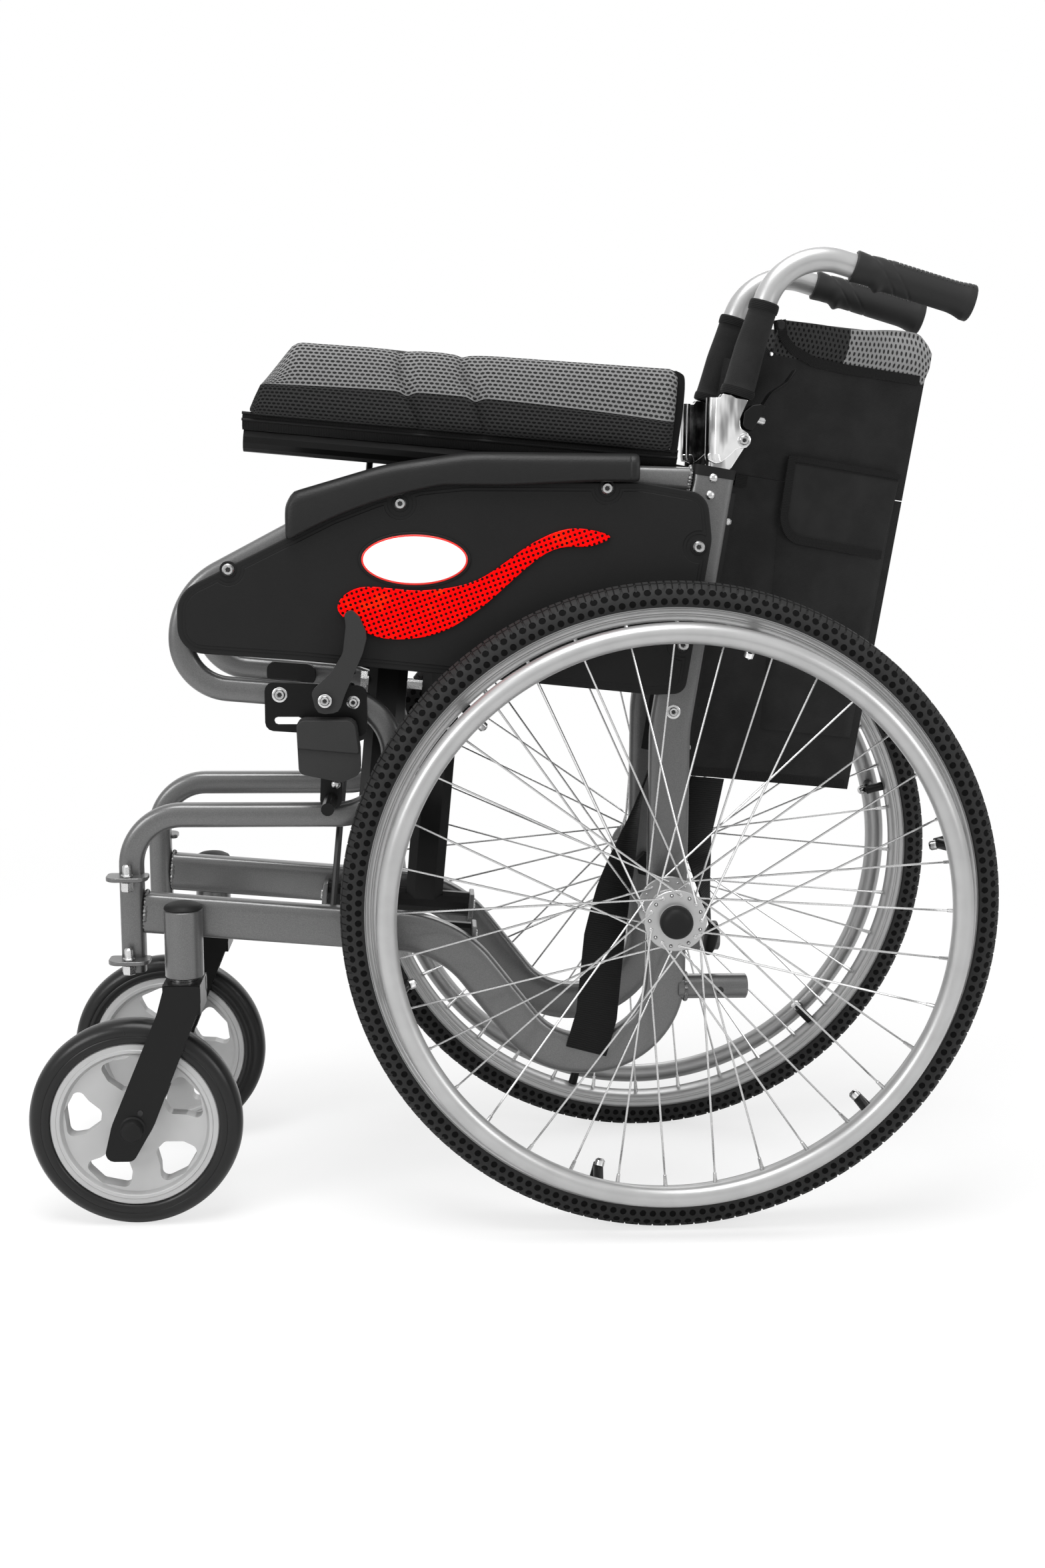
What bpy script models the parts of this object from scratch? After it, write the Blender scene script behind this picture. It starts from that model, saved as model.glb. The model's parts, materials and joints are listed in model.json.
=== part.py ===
"""A folding wheelchair, modelled folded flat with its back leaning on its two canes.

Metres, +Z up, the floor at z = 0. The front of the chair is towards -X, its left side towards -Y.
The pieces of one side are made on the left and mirrored across the plane y = 0.
X is measured from the rear axle while a piece is made, and moved to the middle of the chair at the end.
"""
import bmesh
import bpy
import math
from mathutils import Matrix, Vector

# Wheels and how they stand
WHEEL_RADIUS = 0.305
TYRE_TUBE = 0.0175
TYRE_SEAT = 0.008
TRACK_HALF = 0.1358
RIM_OUTER = WHEEL_RADIUS - 2 * TYRE_TUBE + TYRE_SEAT
RIM_DEPTH = 0.009
RIM_INNER = RIM_OUTER - RIM_DEPTH
RIM_HALF_WIDTH = 0.0125
RIM_CHAMFER = 0.003
HANDRIM_DROP = 0.0164
HANDRIM_RADIUS = RIM_OUTER - HANDRIM_DROP
HANDRIM_TUBE = 0.0095
HANDRIM_OFFSET = 0.0385
HANDRIM_STUDS = 6
STUD_RADIUS = 0.0045
STUD_FOOT_NEAR = -0.0040
STUD_FOOT_FAR = 0.0
FLANGE_OUT = 0.030
FLANGE_IN = 0.025
FLANGE_RADIUS = 0.0285
SPOKES = 36
SPOKE_RADIUS = 0.0011
HUB_RADIUS = 0.015
AXLE_SHAFT = 0.006
CASTER_RADIUS = 0.100
CASTER_X = -0.500
CASTER_Y = -0.1108
CASTER_HALF_WIDTH = 0.015
STEM_X = -0.4522
STEM_RADIUS = 0.0075

# Side frame
FRAME_Y = -0.0878
TUBE_DEPTH = 0.020
SERPENT_WIDTH = 0.0226
LOWER_WIDTH = 0.038
POST_X = 0.001
FRONT_POST_X = -0.501
POST_BEND_Z = 0.470
POST_TOP_X = 0.0372
POST_TOP_Z = 0.7085
HEAD_TUBE_RADIUS = 0.0178
HEAD_TUBE_BOTTOM = 0.2408
HEAD_TUBE_TOP = 0.305

# Folding gear: all its axes are tilted like the seat rails
TILT = math.radians(4.7)
PIVOT_X = -0.2565
PIVOT_Z = 0.2715
LOWER_PIVOT_Y = 0.0628
RAIL_Y = 0.060
RAIL_HEIGHT = 0.450
RAIL_RADIUS = 0.0125
RAIL_FRONT = -0.1719
RAIL_REAR = 0.2204
LINK_OFFSET = 0.026
LINK_WIDTH = 0.040
LINK_DEPTH = 0.020
SLEEVE_HALF = 0.072
SLEEVE_RADIUS = 0.0125
PIVOT_PIN = 0.005

# Seat, in two halves that each fold once
SEAT_FRONT = -0.1667
SEAT_REAR = 0.2243
SEAT_THICK = 0.030
SEAT_CREST = 0.090
SEAT_SLOPE_RUN = 0.034
SEAT_SLOPE_DROP = 0.064
SEAT_ROUND = 0.015
SEAT_INNER_LENGTH = 0.0832
SEAT_INNER_LEAN = math.radians(12.0)
SEAT_BEVEL = 0.0185
SEAT_OVER_PAD = 0.0100

# Back, two halves that meet at a fold behind the posts
BACK_AXIS_INSET = 0.0135
BACK_START = -0.0010
BACK_WIDTH = 0.1840
BACK_FOLDED = math.radians(68.9)
BACK_THICK = 0.006
BACK_BOTTOM = 0.4250
BACK_SPLIT = 0.7075
BACK_TOP = 0.8520

# Push canes
CANE_RADIUS = 0.011
CANE_START_Z = 0.7757
CANE_CORNER_X = 0.0944
CANE_CORNER_Z = 0.9070
CANE_BEND = 0.054
GRIP_LENGTH = 0.1135
GRIP_GAP = 0.0668
CANE_PIVOT_X = 0.0632
CANE_PIVOT_Z = 0.7338
LEVER_PIN_X = 0.0810
LEVER_PIN_Z = 0.7511

# Side panel, armrest and brake
PANEL_INNER = -0.0985
PANEL_THICK = 0.010
PAD_SKIRT_DROP = 0.005
BRAKE_PLATE = 0.004
BRAKE_REACH = 0.0115
BRAKE_PIVOT_X = -WHEEL_RADIUS - BRAKE_REACH
BRAKE_PIVOT_Z = 0.5010
SHOE_PIVOT_X = BRAKE_PIVOT_X + 0.0065
SHOE_PIVOT_Z = 0.4700

# Clearance left between two pieces that touch in use
GAP = 0.0003

# The middle of the chair's length, measured from the rear axle
SHIFT = Vector((-(WHEEL_RADIUS + CASTER_X - CASTER_RADIUS) / 2, 0.0, 0.0))

# Directions of the folding gear
ALONG = Vector((math.cos(TILT), 0.0, -math.sin(TILT)))
ACROSS = Vector((0.0, 1.0, 0.0))
UP = Vector((math.sin(TILT), 0.0, math.cos(TILT)))
PIVOT_LINE = Vector((PIVOT_X, 0.0, PIVOT_Z))


for old in list(bpy.data.objects):
    bpy.data.objects.remove(old, do_unlink=True)


def solid(mesh, name="piece"):
    """Turns a bmesh into an object with its faces pointing out."""
    bmesh.ops.recalc_face_normals(mesh, faces=mesh.faces)
    if mesh.calc_volume(signed=True) < 0.0:
        bmesh.ops.reverse_faces(mesh, faces=mesh.faces)
    data = bpy.data.meshes.new(name)
    mesh.to_mesh(data)
    mesh.free()
    thing = bpy.data.objects.new(name, data)
    bpy.context.scene.collection.objects.link(thing)
    return thing


def shell(rings, closed=False):
    """A skin through rings of points, with end caps unless the rings join up."""
    mesh = bmesh.new()
    loops = [[mesh.verts.new(point) for point in ring] for ring in rings]
    count = len(loops[0])
    last = len(loops) if closed else len(loops) - 1
    for index in range(last):
        here = loops[index]
        there = loops[(index + 1) % len(loops)]
        for corner in range(count):
            other = (corner + 1) % count
            mesh.faces.new((here[corner], here[other], there[other], there[corner]))
    if not closed:
        mesh.faces.new(loops[0])
        mesh.faces.new(list(reversed(loops[-1])))
    return solid(mesh)


def combine(target, other, operation):
    """Joins or cuts target with other, and removes other."""
    change = target.modifiers.new("combine", "BOOLEAN")
    change.operation = operation
    change.solver = "EXACT"
    change.object = other
    graph = bpy.context.evaluated_depsgraph_get()
    result = bpy.data.meshes.new_from_object(target.evaluated_get(graph))
    target.modifiers.clear()
    target.data = result
    bpy.data.objects.remove(other, do_unlink=True)
    return target


def fuse(first, *others):
    for other in others:
        combine(first, other, "UNION")
    return first


def cut(first, *cutters):
    for cutter in cutters:
        combine(first, cutter, "DIFFERENCE")
    return first


def bundle(things):
    """Several separate solids as one mesh, for joining to another piece in one go."""
    mesh = bmesh.new()
    for thing in things:
        mesh.from_mesh(thing.data)
        bpy.data.objects.remove(thing, do_unlink=True)
    return solid(mesh)


def rounded(points, radii, step=15.0):
    """A path through points with its corners rounded; radii has one value for each inner corner."""
    result = [Vector(points[0])]
    for index in range(1, len(points) - 1):
        before, corner, after = points[index - 1:index + 2]
        result.extend(corner_arc(before, corner, after, radii[index - 1], step))
    result.append(Vector(points[-1]))
    return result


def corner_arc(before, corner, after, radius, step=15.0):
    """Points along the arc that rounds one corner."""
    before, corner, after = Vector(before), Vector(corner), Vector(after)
    inward = (before - corner).normalized()
    outward = (after - corner).normalized()
    turn = math.pi - inward.angle(outward)
    if radius <= 0.0 or turn < 0.01:
        return [corner]
    reach = radius * math.tan(turn / 2)
    start = corner + inward * reach
    centre = corner + (inward + outward).normalized() * (radius / math.cos(turn / 2))
    count = max(1, math.ceil(math.degrees(turn) / step))
    first = start - centre
    second = -inward * radius
    arc = []
    for number in range(count + 1):
        angle = turn * number / count
        arc.append(centre + first * math.cos(angle) + second * math.sin(angle))
    return arc


def rounded_outline(points, radii, step=30.0):
    """A closed outline with every corner rounded."""
    result = []
    count = len(points)
    for index in range(count):
        after = points[(index + 1) % count]
        result.extend(corner_arc(points[index - 1], points[index], after, radii[index], step))
    return result


def oval(width, depth, steps=4):
    """Section of a tube with half-round edges: width lies in the plane of its path, depth across it."""
    radius = depth / 2
    reach = width / 2 - radius
    section = []
    for side in (1, -1):
        for number in range(steps + 1):
            angle = math.pi * number / steps - math.pi / 2
            section.append((side * (reach + radius * math.cos(angle)), side * radius * math.sin(angle)))
    return section


def ellipse(width, depth, count=10):
    section = []
    for number in range(count):
        angle = 2 * math.pi * (number + 0.5) / count
        section.append((width / 2 * math.cos(angle), depth / 2 * math.sin(angle)))
    return section


def sweep(path, section, y):
    """A tube along a path of (x, z) points, in the upright plane at y."""
    rings = []
    for index, point in enumerate(path):
        before = path[index] - path[index - 1] if index > 0 else path[1] - path[0]
        after = path[index + 1] - path[index] if index + 1 < len(path) else before
        before, after = before.normalized(), after.normalized()
        along = (before + after).normalized()
        normal = Vector((-along.y, along.x))
        stretch = 1.0 / max(0.5, along.dot(after))
        ring = []
        for across, deep in section:
            place = point + normal * across * stretch
            ring.append((place.x, y + deep, place.y))
        rings.append(ring)
    return shell(rings)


def plate(outline, y_low, y_high):
    """A flat piece: an (x, z) outline between two values of y."""
    rings = []
    for y in (y_low, y_high):
        rings.append([(point[0], y, point[1]) for point in outline])
    return shell(rings)


def block(low, high):
    outline = [(low[0], low[2]), (high[0], low[2]), (high[0], high[2]), (low[0], high[2])]
    return plate(outline, low[1], high[1])


def rod(start, end, radius, count=12):
    """A straight round bar between two points."""
    start, end = Vector(start), Vector(end)
    along = (end - start).normalized()
    side = along.orthogonal().normalized()
    other = along.cross(side)
    rings = []
    for place in (start, end):
        ring = []
        for number in range(count):
            angle = 2 * math.pi * number / count
            ring.append(place + (side * math.cos(angle) + other * math.sin(angle)) * radius)
        rings.append(ring)
    return shell(rings)


def bar(start, end, wide, deep):
    """A straight bar with a flat oval section; wide and deep are its half width and half depth as vectors."""
    start, end = Vector(start), Vector(end)
    wide, deep = Vector(wide), Vector(deep)
    section = oval(2 * wide.length, 2 * deep.length, 3)
    wide_way, deep_way = wide.normalized(), deep.normalized()
    rings = []
    for place in (start, end):
        rings.append([place + wide_way * across + deep_way * depth for across, depth in section])
    return shell(rings)


def turned(profile, centre, axis, count, joined=True):
    """A round piece: profile is a closed list of (radius, distance along the axis)."""
    centre = Vector(centre)
    axis = Vector(axis).normalized()
    side = axis.orthogonal().normalized()
    other = axis.cross(side)
    rings = []
    for number in range(count):
        angle = 2 * math.pi * number / count
        out = side * math.cos(angle) + other * math.sin(angle)
        rings.append([centre + out * radius + axis * distance for radius, distance in profile])
    if joined:
        return shell(rings, closed=True)
    mesh = bmesh.new()
    inner = len(profile) - 1
    columns = [[mesh.verts.new(point) for point in ring[1:inner]] for ring in rings]
    low = mesh.verts.new(centre + axis * profile[0][1])
    high = mesh.verts.new(centre + axis * profile[-1][1])
    for number in range(count):
        here = columns[number]
        there = columns[(number + 1) % count]
        mesh.faces.new((low, there[0], here[0]))
        for row in range(len(here) - 1):
            mesh.faces.new((here[row], there[row], there[row + 1], here[row + 1]))
        mesh.faces.new((high, here[-1], there[-1]))
    return solid(mesh)


def finish(thing, name, origin, colour, roughness=0.5, metallic=0.0):
    """Names a piece, puts its origin on its joint and gives it a material."""
    mesh = bmesh.new()
    mesh.from_mesh(thing.data)
    bmesh.ops.remove_doubles(mesh, verts=mesh.verts, dist=0.000005)
    bmesh.ops.dissolve_degenerate(mesh, edges=mesh.edges, dist=0.000005)
    bmesh.ops.translate(mesh, verts=mesh.verts, vec=-Vector(origin))
    mesh.to_mesh(thing.data)
    mesh.free()
    thing.name = name
    thing.data.name = name
    thing.location = Vector(origin) + SHIFT
    material = bpy.data.materials.new(name)
    material.use_nodes = True
    shader = material.node_tree.nodes["Principled BSDF"]
    shader.inputs["Base Color"].default_value = (*colour, 1.0)
    shader.inputs["Roughness"].default_value = roughness
    shader.inputs["Metallic"].default_value = metallic
    thing.data.materials.clear()
    thing.data.materials.append(material)
    thing.data.shade_smooth()
    thing.data.set_sharp_from_angle(angle=math.radians(40.0))
    return thing


def pair(thing, name, origin, colour, roughness=0.5, metallic=0.0):
    """Finishes a piece of the left side and makes the same piece, mirrored, for the right."""
    mesh = bmesh.new()
    mesh.from_mesh(thing.data)
    bmesh.ops.scale(mesh, vec=(1.0, -1.0, 1.0), verts=mesh.verts)
    bmesh.ops.reverse_faces(mesh, faces=mesh.faces)
    data = bpy.data.meshes.new(name)
    mesh.to_mesh(data)
    mesh.free()
    other = bpy.data.objects.new(name, data)
    bpy.context.scene.collection.objects.link(other)
    mirrored = Vector((origin[0], -origin[1], origin[2]))
    finish(thing, "left_" + name, origin, colour, roughness, metallic)
    finish(other, "right_" + name, mirrored, colour, roughness, metallic)


def gear_point(along, across, up):
    """A point in the folding gear's own directions."""
    return PIVOT_LINE + ALONG * along + ACROSS * across + UP * up


GREY = (0.16, 0.165, 0.17)
SILVER = (0.55, 0.56, 0.57)
BLACK = (0.012, 0.012, 0.013)
CLOTH = (0.02, 0.02, 0.022)
RED = (0.45, 0.012, 0.012)
STILL = (0.0, 0.0, 0.0)

# Front tube of the side frame: post, brake run, loop and armrest in one length
RUN_Z = 0.389
UPPER_RUN_Z = 0.5005
UPPER_RUN_X = -0.3297
LOOP_X = -0.4492
ARM_SLOPE = 0.533
ARM_X = -0.4024
ARM_Z = 0.6182
ARM_REAR_X = 0.0138
ARM_REAR_Z = 0.6985
ARM_REAR_SLOPE = -0.0258
TURN_X = -0.2565
slope = math.tan(TILT)


def upper_run(x):
    return UPPER_RUN_Z - slope * (x - UPPER_RUN_X)


def arm_rear(x):
    return ARM_REAR_Z + ARM_REAR_SLOPE * (x - ARM_REAR_X)


loop_top = ARM_Z + ARM_SLOPE * (LOOP_X - ARM_X)
arm_corner_x = (arm_rear(0.0) - ARM_Z + ARM_SLOPE * ARM_X) / (ARM_SLOPE - ARM_REAR_SLOPE)
serpent = rounded(
    [
        (FRONT_POST_X, 0.240),
        (FRONT_POST_X, RUN_Z),
        (TURN_X, RUN_Z),
        (TURN_X, upper_run(TURN_X)),
        (LOOP_X, upper_run(LOOP_X)),
        (LOOP_X, loop_top),
        (arm_corner_x, arm_rear(arm_corner_x)),
        (ARM_REAR_X, ARM_REAR_Z),
    ],
    [0.048, 0.0527, 0.0527, 0.045, 0.0675, 0.42],
    18.0,
)
front = sweep(serpent, ellipse(SERPENT_WIDTH, TUBE_DEPTH), FRAME_Y)

# Two small brackets on the front post carry upright pins for a footrest
HOOK_LOW = -0.5226
HOOK_HIGH = -0.4842
HOOK_OUT = FRAME_Y - 0.0250
PIN_Y = FRAME_Y - 0.0172
HOOK_THICK = 0.004
HOOK_PIN_RADIUS = 0.0042
HOOK_PIN_HEIGHT = 0.010
hook_corners = [(HOOK_LOW, HOOK_OUT), (HOOK_HIGH, HOOK_OUT), (HOOK_HIGH, FRAME_Y), (HOOK_LOW, FRAME_Y)]
for level, pin_x in ((0.330, -0.5027), (0.2506, -0.5033)):
    hook = plate(rounded_outline(hook_corners, [0.008, 0.008, 0.0, 0.0], 45.0), 0.0, HOOK_THICK)
    hook.data.transform(Matrix(((1, 0, 0, 0), (0, 0, 1, 0), (0, 1, 0, level), (0, 0, 0, 1))))
    pin_top = level + HOOK_THICK + HOOK_PIN_HEIGHT
    pin = rod((pin_x, PIN_Y, level + HOOK_THICK / 2), (pin_x, PIN_Y, pin_top), HOOK_PIN_RADIUS, 8)
    fuse(front, hook, pin)
pair(front, "frame_front", STILL, GREY, 0.38, 0.8)

# Rear tube of the side frame: lower rail, its S-bend and the rear post
LOWER_FRONT_X = FRONT_POST_X + SERPENT_WIDTH / 2 + 0.0012
LOWER_REF_X = -0.3095
LOWER_REF_Z = 0.2816
DIP_ANGLE = math.radians(52.0)
DIP_X = -0.1666
DIP_Z = 0.2229
DIP_BOTTOM = 0.155


def lower_rail(x):
    return LOWER_REF_Z - slope * (x - LOWER_REF_X)


def dip_line_x(z):
    return DIP_X + (DIP_Z - z) / math.tan(DIP_ANGLE)


bend_x = (lower_rail(0.0) - DIP_Z - math.tan(DIP_ANGLE) * DIP_X) / (slope - math.tan(DIP_ANGLE))
rear_path = rounded(
    [
        (LOWER_FRONT_X, lower_rail(LOWER_FRONT_X)),
        (bend_x, lower_rail(bend_x)),
        (dip_line_x(DIP_BOTTOM), DIP_BOTTOM),
        (POST_X, DIP_BOTTOM),
        (POST_X, POST_BEND_Z),
        (POST_TOP_X, POST_TOP_Z),
    ],
    [0.100, 0.0745, 0.0745, 0.15],
    13.0,
)
rear = sweep(rear_path, oval(LOWER_WIDTH, TUBE_DEPTH), FRAME_Y)

# Head tube for the caster, bored from below for its stem
HEAD_TUBE_X = STEM_X + 0.001
HEAD_TUBE_LID = 0.008
head_bottom = (HEAD_TUBE_X, CASTER_Y, HEAD_TUBE_BOTTOM)
head_top = (HEAD_TUBE_X, CASTER_Y, HEAD_TUBE_TOP)
fuse(rear, rod(head_bottom, head_top, HEAD_TUBE_RADIUS, 20))
bore_low = (STEM_X, CASTER_Y, HEAD_TUBE_BOTTOM - 0.01)
bore_high = (STEM_X, CASTER_Y, HEAD_TUBE_TOP - HEAD_TUBE_LID)
cut(rear, rod(bore_low, bore_high, STEM_RADIUS + GAP, 12))

# Socket behind the post for a wheel that stops the chair tipping
SOCKET_Z = 0.2205
SOCKET_END = 0.0789
SOCKET_DEPTH = 0.045
SOCKET_RADIUS = 0.0118
SOCKET_BORE = 0.0092
fuse(rear, rod((POST_X, FRAME_Y, SOCKET_Z), (SOCKET_END, FRAME_Y, SOCKET_Z), SOCKET_RADIUS, 12))
socket_floor = (SOCKET_END - SOCKET_DEPTH, FRAME_Y, SOCKET_Z)
cut(rear, rod(socket_floor, (SOCKET_END + 0.01, FRAME_Y, SOCKET_Z), SOCKET_BORE, 12))

# Short tongue on top of the post, to which the cane is hinged
tongue_low = POST_TOP_Z - 0.006
tongue = [
    (POST_TOP_X - 0.0050, tongue_low),
    (POST_TOP_X + 0.0140, tongue_low),
    (CANE_PIVOT_X + 0.0090, CANE_PIVOT_Z - 0.0085),
    (CANE_PIVOT_X + 0.0120, CANE_PIVOT_Z),
    (CANE_PIVOT_X + 0.0070, CANE_PIVOT_Z + 0.0075),
    (CANE_PIVOT_X - 0.0040, CANE_PIVOT_Z + 0.0100),
    (POST_TOP_X - 0.0030, CANE_PIVOT_Z + 0.0095),
]
TONGUE_HALF = 0.0055
fuse(rear, plate(tongue, FRAME_Y - TONGUE_HALF, FRAME_Y + TONGUE_HALF))
CANE_PIN = 0.0040
pin_left = (CANE_PIVOT_X, FRAME_Y - 0.02, CANE_PIVOT_Z)
pin_right = (CANE_PIVOT_X, FRAME_Y + 0.02, CANE_PIVOT_Z)
cut(rear, rod(pin_left, pin_right, CANE_PIN + GAP, 10))

# Lugs on the inner face of the lower rail hold the pivots of the folding cross
LUG_THICK = 0.005
LUG_OUTER = -0.0790
LUG_LOW = -0.012
LUG_REAR_LOW = -0.026
LUG_HIGH = 0.0125
lug_inner = -LOWER_PIVOT_Y + 0.013
pin_reach = 0.010
for end in (-1, 1):
    near = end * (SLEEVE_HALF + GAP)
    far = end * (SLEEVE_HALF + GAP + LUG_THICK)
    corners = [(LUG_OUTER, LUG_LOW), (lug_inner, LUG_LOW), (lug_inner, LUG_HIGH), (LUG_OUTER, LUG_HIGH)]
    if end > 0:
        corners[0] = (LUG_OUTER, LUG_REAR_LOW)
    lug = shell([[gear_point(place, y, up) for y, up in corners] for place in (near, far)])
    pin = rod(gear_point(near - end * pin_reach, -LOWER_PIVOT_Y, 0.0),
              gear_point(far - end * LUG_THICK / 2, -LOWER_PIVOT_Y, 0.0), PIVOT_PIN, 10)
    fuse(rear, lug, pin)

# Hole through the post for the wheel's axle
cut(rear, rod((0.0, FRAME_Y - 0.03, WHEEL_RADIUS), (0.0, FRAME_Y + 0.03, WHEEL_RADIUS), AXLE_SHAFT + GAP, 12))
pair(rear, "frame_rear", STILL, GREY, 0.38, 0.8)



def arm_tube(x):
    """Height of the arm tube's middle line at x."""
    for first, second in zip(serpent[:-1], serpent[1:]):
        if first.x <= x <= second.x and first.y > RUN_Z + 0.15:
            return first.y + (second.y - first.y) * (x - first.x) / (second.x - first.x)
    return ARM_REAR_Z


def skirt_edge(x):
    """Where the inner side of the armrest pad's skirt ends, beside the arm tube."""
    return min(SKIRT_LEVEL, arm_tube(x) + SKIRT_RISE)


# Side panel between the frame and the wheel; its top edge runs just below the pad's skirt
SKIRT_LEVEL = 0.6975
SKIRT_RISE = 0.0010
PANEL_TOP_DROP = 0.0015
PANEL_REAR_X = -0.0300
PANEL_FRONT_X = -0.3471
panel_outer = PANEL_INNER - PANEL_THICK
panel_top = []
for point in serpent:
    if PANEL_FRONT_X < point.x < PANEL_REAR_X and point.y > RUN_Z + 0.15:
        panel_top.append((point.x, skirt_edge(point.x) - PANEL_TOP_DROP))
panel_top = [(PANEL_FRONT_X, skirt_edge(PANEL_FRONT_X) - PANEL_TOP_DROP)] + panel_top
panel_top.append((PANEL_REAR_X, skirt_edge(PANEL_REAR_X) - PANEL_TOP_DROP))
panel_top.reverse()
panel_low = [
    (-0.4500, 0.5960),
    (-0.4500, 0.5425),
    (-0.3380, 0.5348),
    (-0.0174, 0.5035),
    (0.0120, 0.5045),
    (0.0340, 0.6450),
    (0.0290, 0.6860),
]
panel_radii = [0.0] * len(panel_top) + [0.030, 0.024, 0.0, 0.05, 0.006, 0.04, 0.02]
panel = rounded_outline(panel_top + panel_low, panel_radii, 22.0)
pair(plate(panel, panel_outer, PANEL_INNER), "side_panel", STILL, BLACK, 0.55)

# Reflector on the panel
reflector_face = panel_outer - GAP
reflector = [
    (-0.3047, 0.5809),
    (-0.2853, 0.6013),
    (-0.2273, 0.5990),
    (-0.1786, 0.6087),
    (-0.1271, 0.6428),
    (-0.0929, 0.6548),
    (-0.0598, 0.6484),
    (-0.0753, 0.6394),
    (-0.1168, 0.6327),
    (-0.1786, 0.5811),
    (-0.2202, 0.5587),
    (-0.2690, 0.5568),
]
pair(plate(reflector, reflector_face - 0.0028, reflector_face), "reflector", STILL, RED, 0.2)

# Armrest pad: it lies on the arm tube and laps down over its outer side
PAD_OUTER = -0.1190
PAD_INNER = -0.0798
PAD_FRONT_X = -0.351
PAD_REAR_X = -0.0335
tube_half = SERPENT_WIDTH / 2
above = tube_half + GAP + 0.0012
pad_top = rounded(
    [(PAD_FRONT_X, 0.6600), (PAD_FRONT_X, 0.6840), (-0.2606, 0.7110), (-0.1858, 0.7222), (PAD_REAR_X, 0.7212),
     (PAD_REAR_X, 0.7150)],
    [0.010, 0.25, 0.2, 0.006],
    15.0,
)
stations = [point.x for point in serpent if PAD_FRONT_X < point.x < PAD_REAR_X and point.y > RUN_Z + 0.15]
stations = [PAD_REAR_X] + sorted(stations, reverse=True) + [PAD_FRONT_X]
under = [Vector((x, arm_tube(x) + above)) for x in stations]
upper_outline = pad_top[1:-1] + under
pad = plate(upper_outline, PAD_OUTER, PAD_INNER)
skirt_inner = FRAME_Y - TUBE_DEPTH / 2 - 0.0005
skirt_low = [Vector((x, skirt_edge(x))) for x in stations]
skirt = plate(pad_top[1:-1] + skirt_low, PAD_OUTER, skirt_inner)
lip_low = [Vector((x, arm_tube(x) - PAD_SKIRT_DROP)) for x in stations]
lip = plate(pad_top[1:-1] + lip_low, PAD_OUTER, panel_outer - GAP)
fuse(pad, skirt, lip)
pair(pad, "armrest_pad", STILL, BLACK, 0.6)

# Block on the inner side of the frame that steadies the seat rail when the chair is open
guide_outer = FRAME_Y + TUBE_DEPTH / 2 + GAP
guide = rounded_outline(
    [(-0.3870, 0.4960), (-0.3386, 0.4925), (-0.3386, 0.5120), (-0.3870, 0.5155)],
    [0.005, 0.005, 0.008, 0.008],
    30.0,
)
pair(plate(guide, guide_outer, guide_outer + 0.0092), "seat_guide", STILL, BLACK, 0.5)

# Rear axle: a shaft through the post with a nut on its inner end
AXLE_NUT_RADIUS = 0.0125
AXLE_NUT_LENGTH = 0.013
axle_inner = FRAME_Y + TUBE_DEPTH / 2 + GAP
hub_outer_y = -TRACK_HALF - FLANGE_OUT - 0.0035
nut_start = (0.0, axle_inner, WHEEL_RADIUS)
nut_end = (0.0, axle_inner + AXLE_NUT_LENGTH, WHEEL_RADIUS)
axle = fuse(
    rod((0.0, hub_outer_y, WHEEL_RADIUS), (0.0, axle_inner + 0.008, WHEEL_RADIUS), AXLE_SHAFT, 12),
    rod(nut_start, nut_end, AXLE_NUT_RADIUS, 6),
)
pair(axle, "rear_axle", (0.0, FRAME_Y, WHEEL_RADIUS), BLACK, 0.4)

# Rear wheel: rim, spokes and hub
WHEEL_CENTRE = Vector((0.0, -TRACK_HALF, WHEEL_RADIUS))


def wheel_way(angle):
    """The direction away from the axle at an angle."""
    return Vector((math.cos(angle), 0.0, math.sin(angle)))


rim_profile = [
    (RIM_INNER, -RIM_HALF_WIDTH + RIM_CHAMFER),
    (RIM_INNER + RIM_CHAMFER, -RIM_HALF_WIDTH),
    (RIM_OUTER, -RIM_HALF_WIDTH),
    (RIM_OUTER, RIM_HALF_WIDTH),
    (RIM_INNER + RIM_CHAMFER, RIM_HALF_WIDTH),
    (RIM_INNER, RIM_HALF_WIDTH - RIM_CHAMFER),
]
wheel = turned(rim_profile, WHEEL_CENTRE, (0, 1, 0), 56)
hub_inner = FRAME_Y - TUBE_DEPTH / 2 - 0.0004 + TRACK_HALF
hub_outer = -FLANGE_OUT - 0.0035
flange_half = 0.0018
hub_bore = AXLE_SHAFT + GAP
hub_profile = [
    (hub_bore, hub_outer),
    (HUB_RADIUS, hub_outer),
    (HUB_RADIUS, -FLANGE_OUT - flange_half),
    (FLANGE_RADIUS, -FLANGE_OUT - flange_half),
    (FLANGE_RADIUS, -FLANGE_OUT + flange_half),
    (HUB_RADIUS, -FLANGE_OUT + flange_half),
    (HUB_RADIUS, FLANGE_IN - flange_half),
    (FLANGE_RADIUS, FLANGE_IN - flange_half),
    (FLANGE_RADIUS, FLANGE_IN + flange_half),
    (HUB_RADIUS, FLANGE_IN + flange_half),
    (HUB_RADIUS, hub_inner),
    (hub_bore, hub_inner),
]
hub = turned(hub_profile, WHEEL_CENTRE, (0, 1, 0), 20)
HOLE_RADIUS = 0.0235
HOLE_TURN = math.radians(60.0)
SPOKE_LIFT = 0.0022
spokes = []
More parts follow.
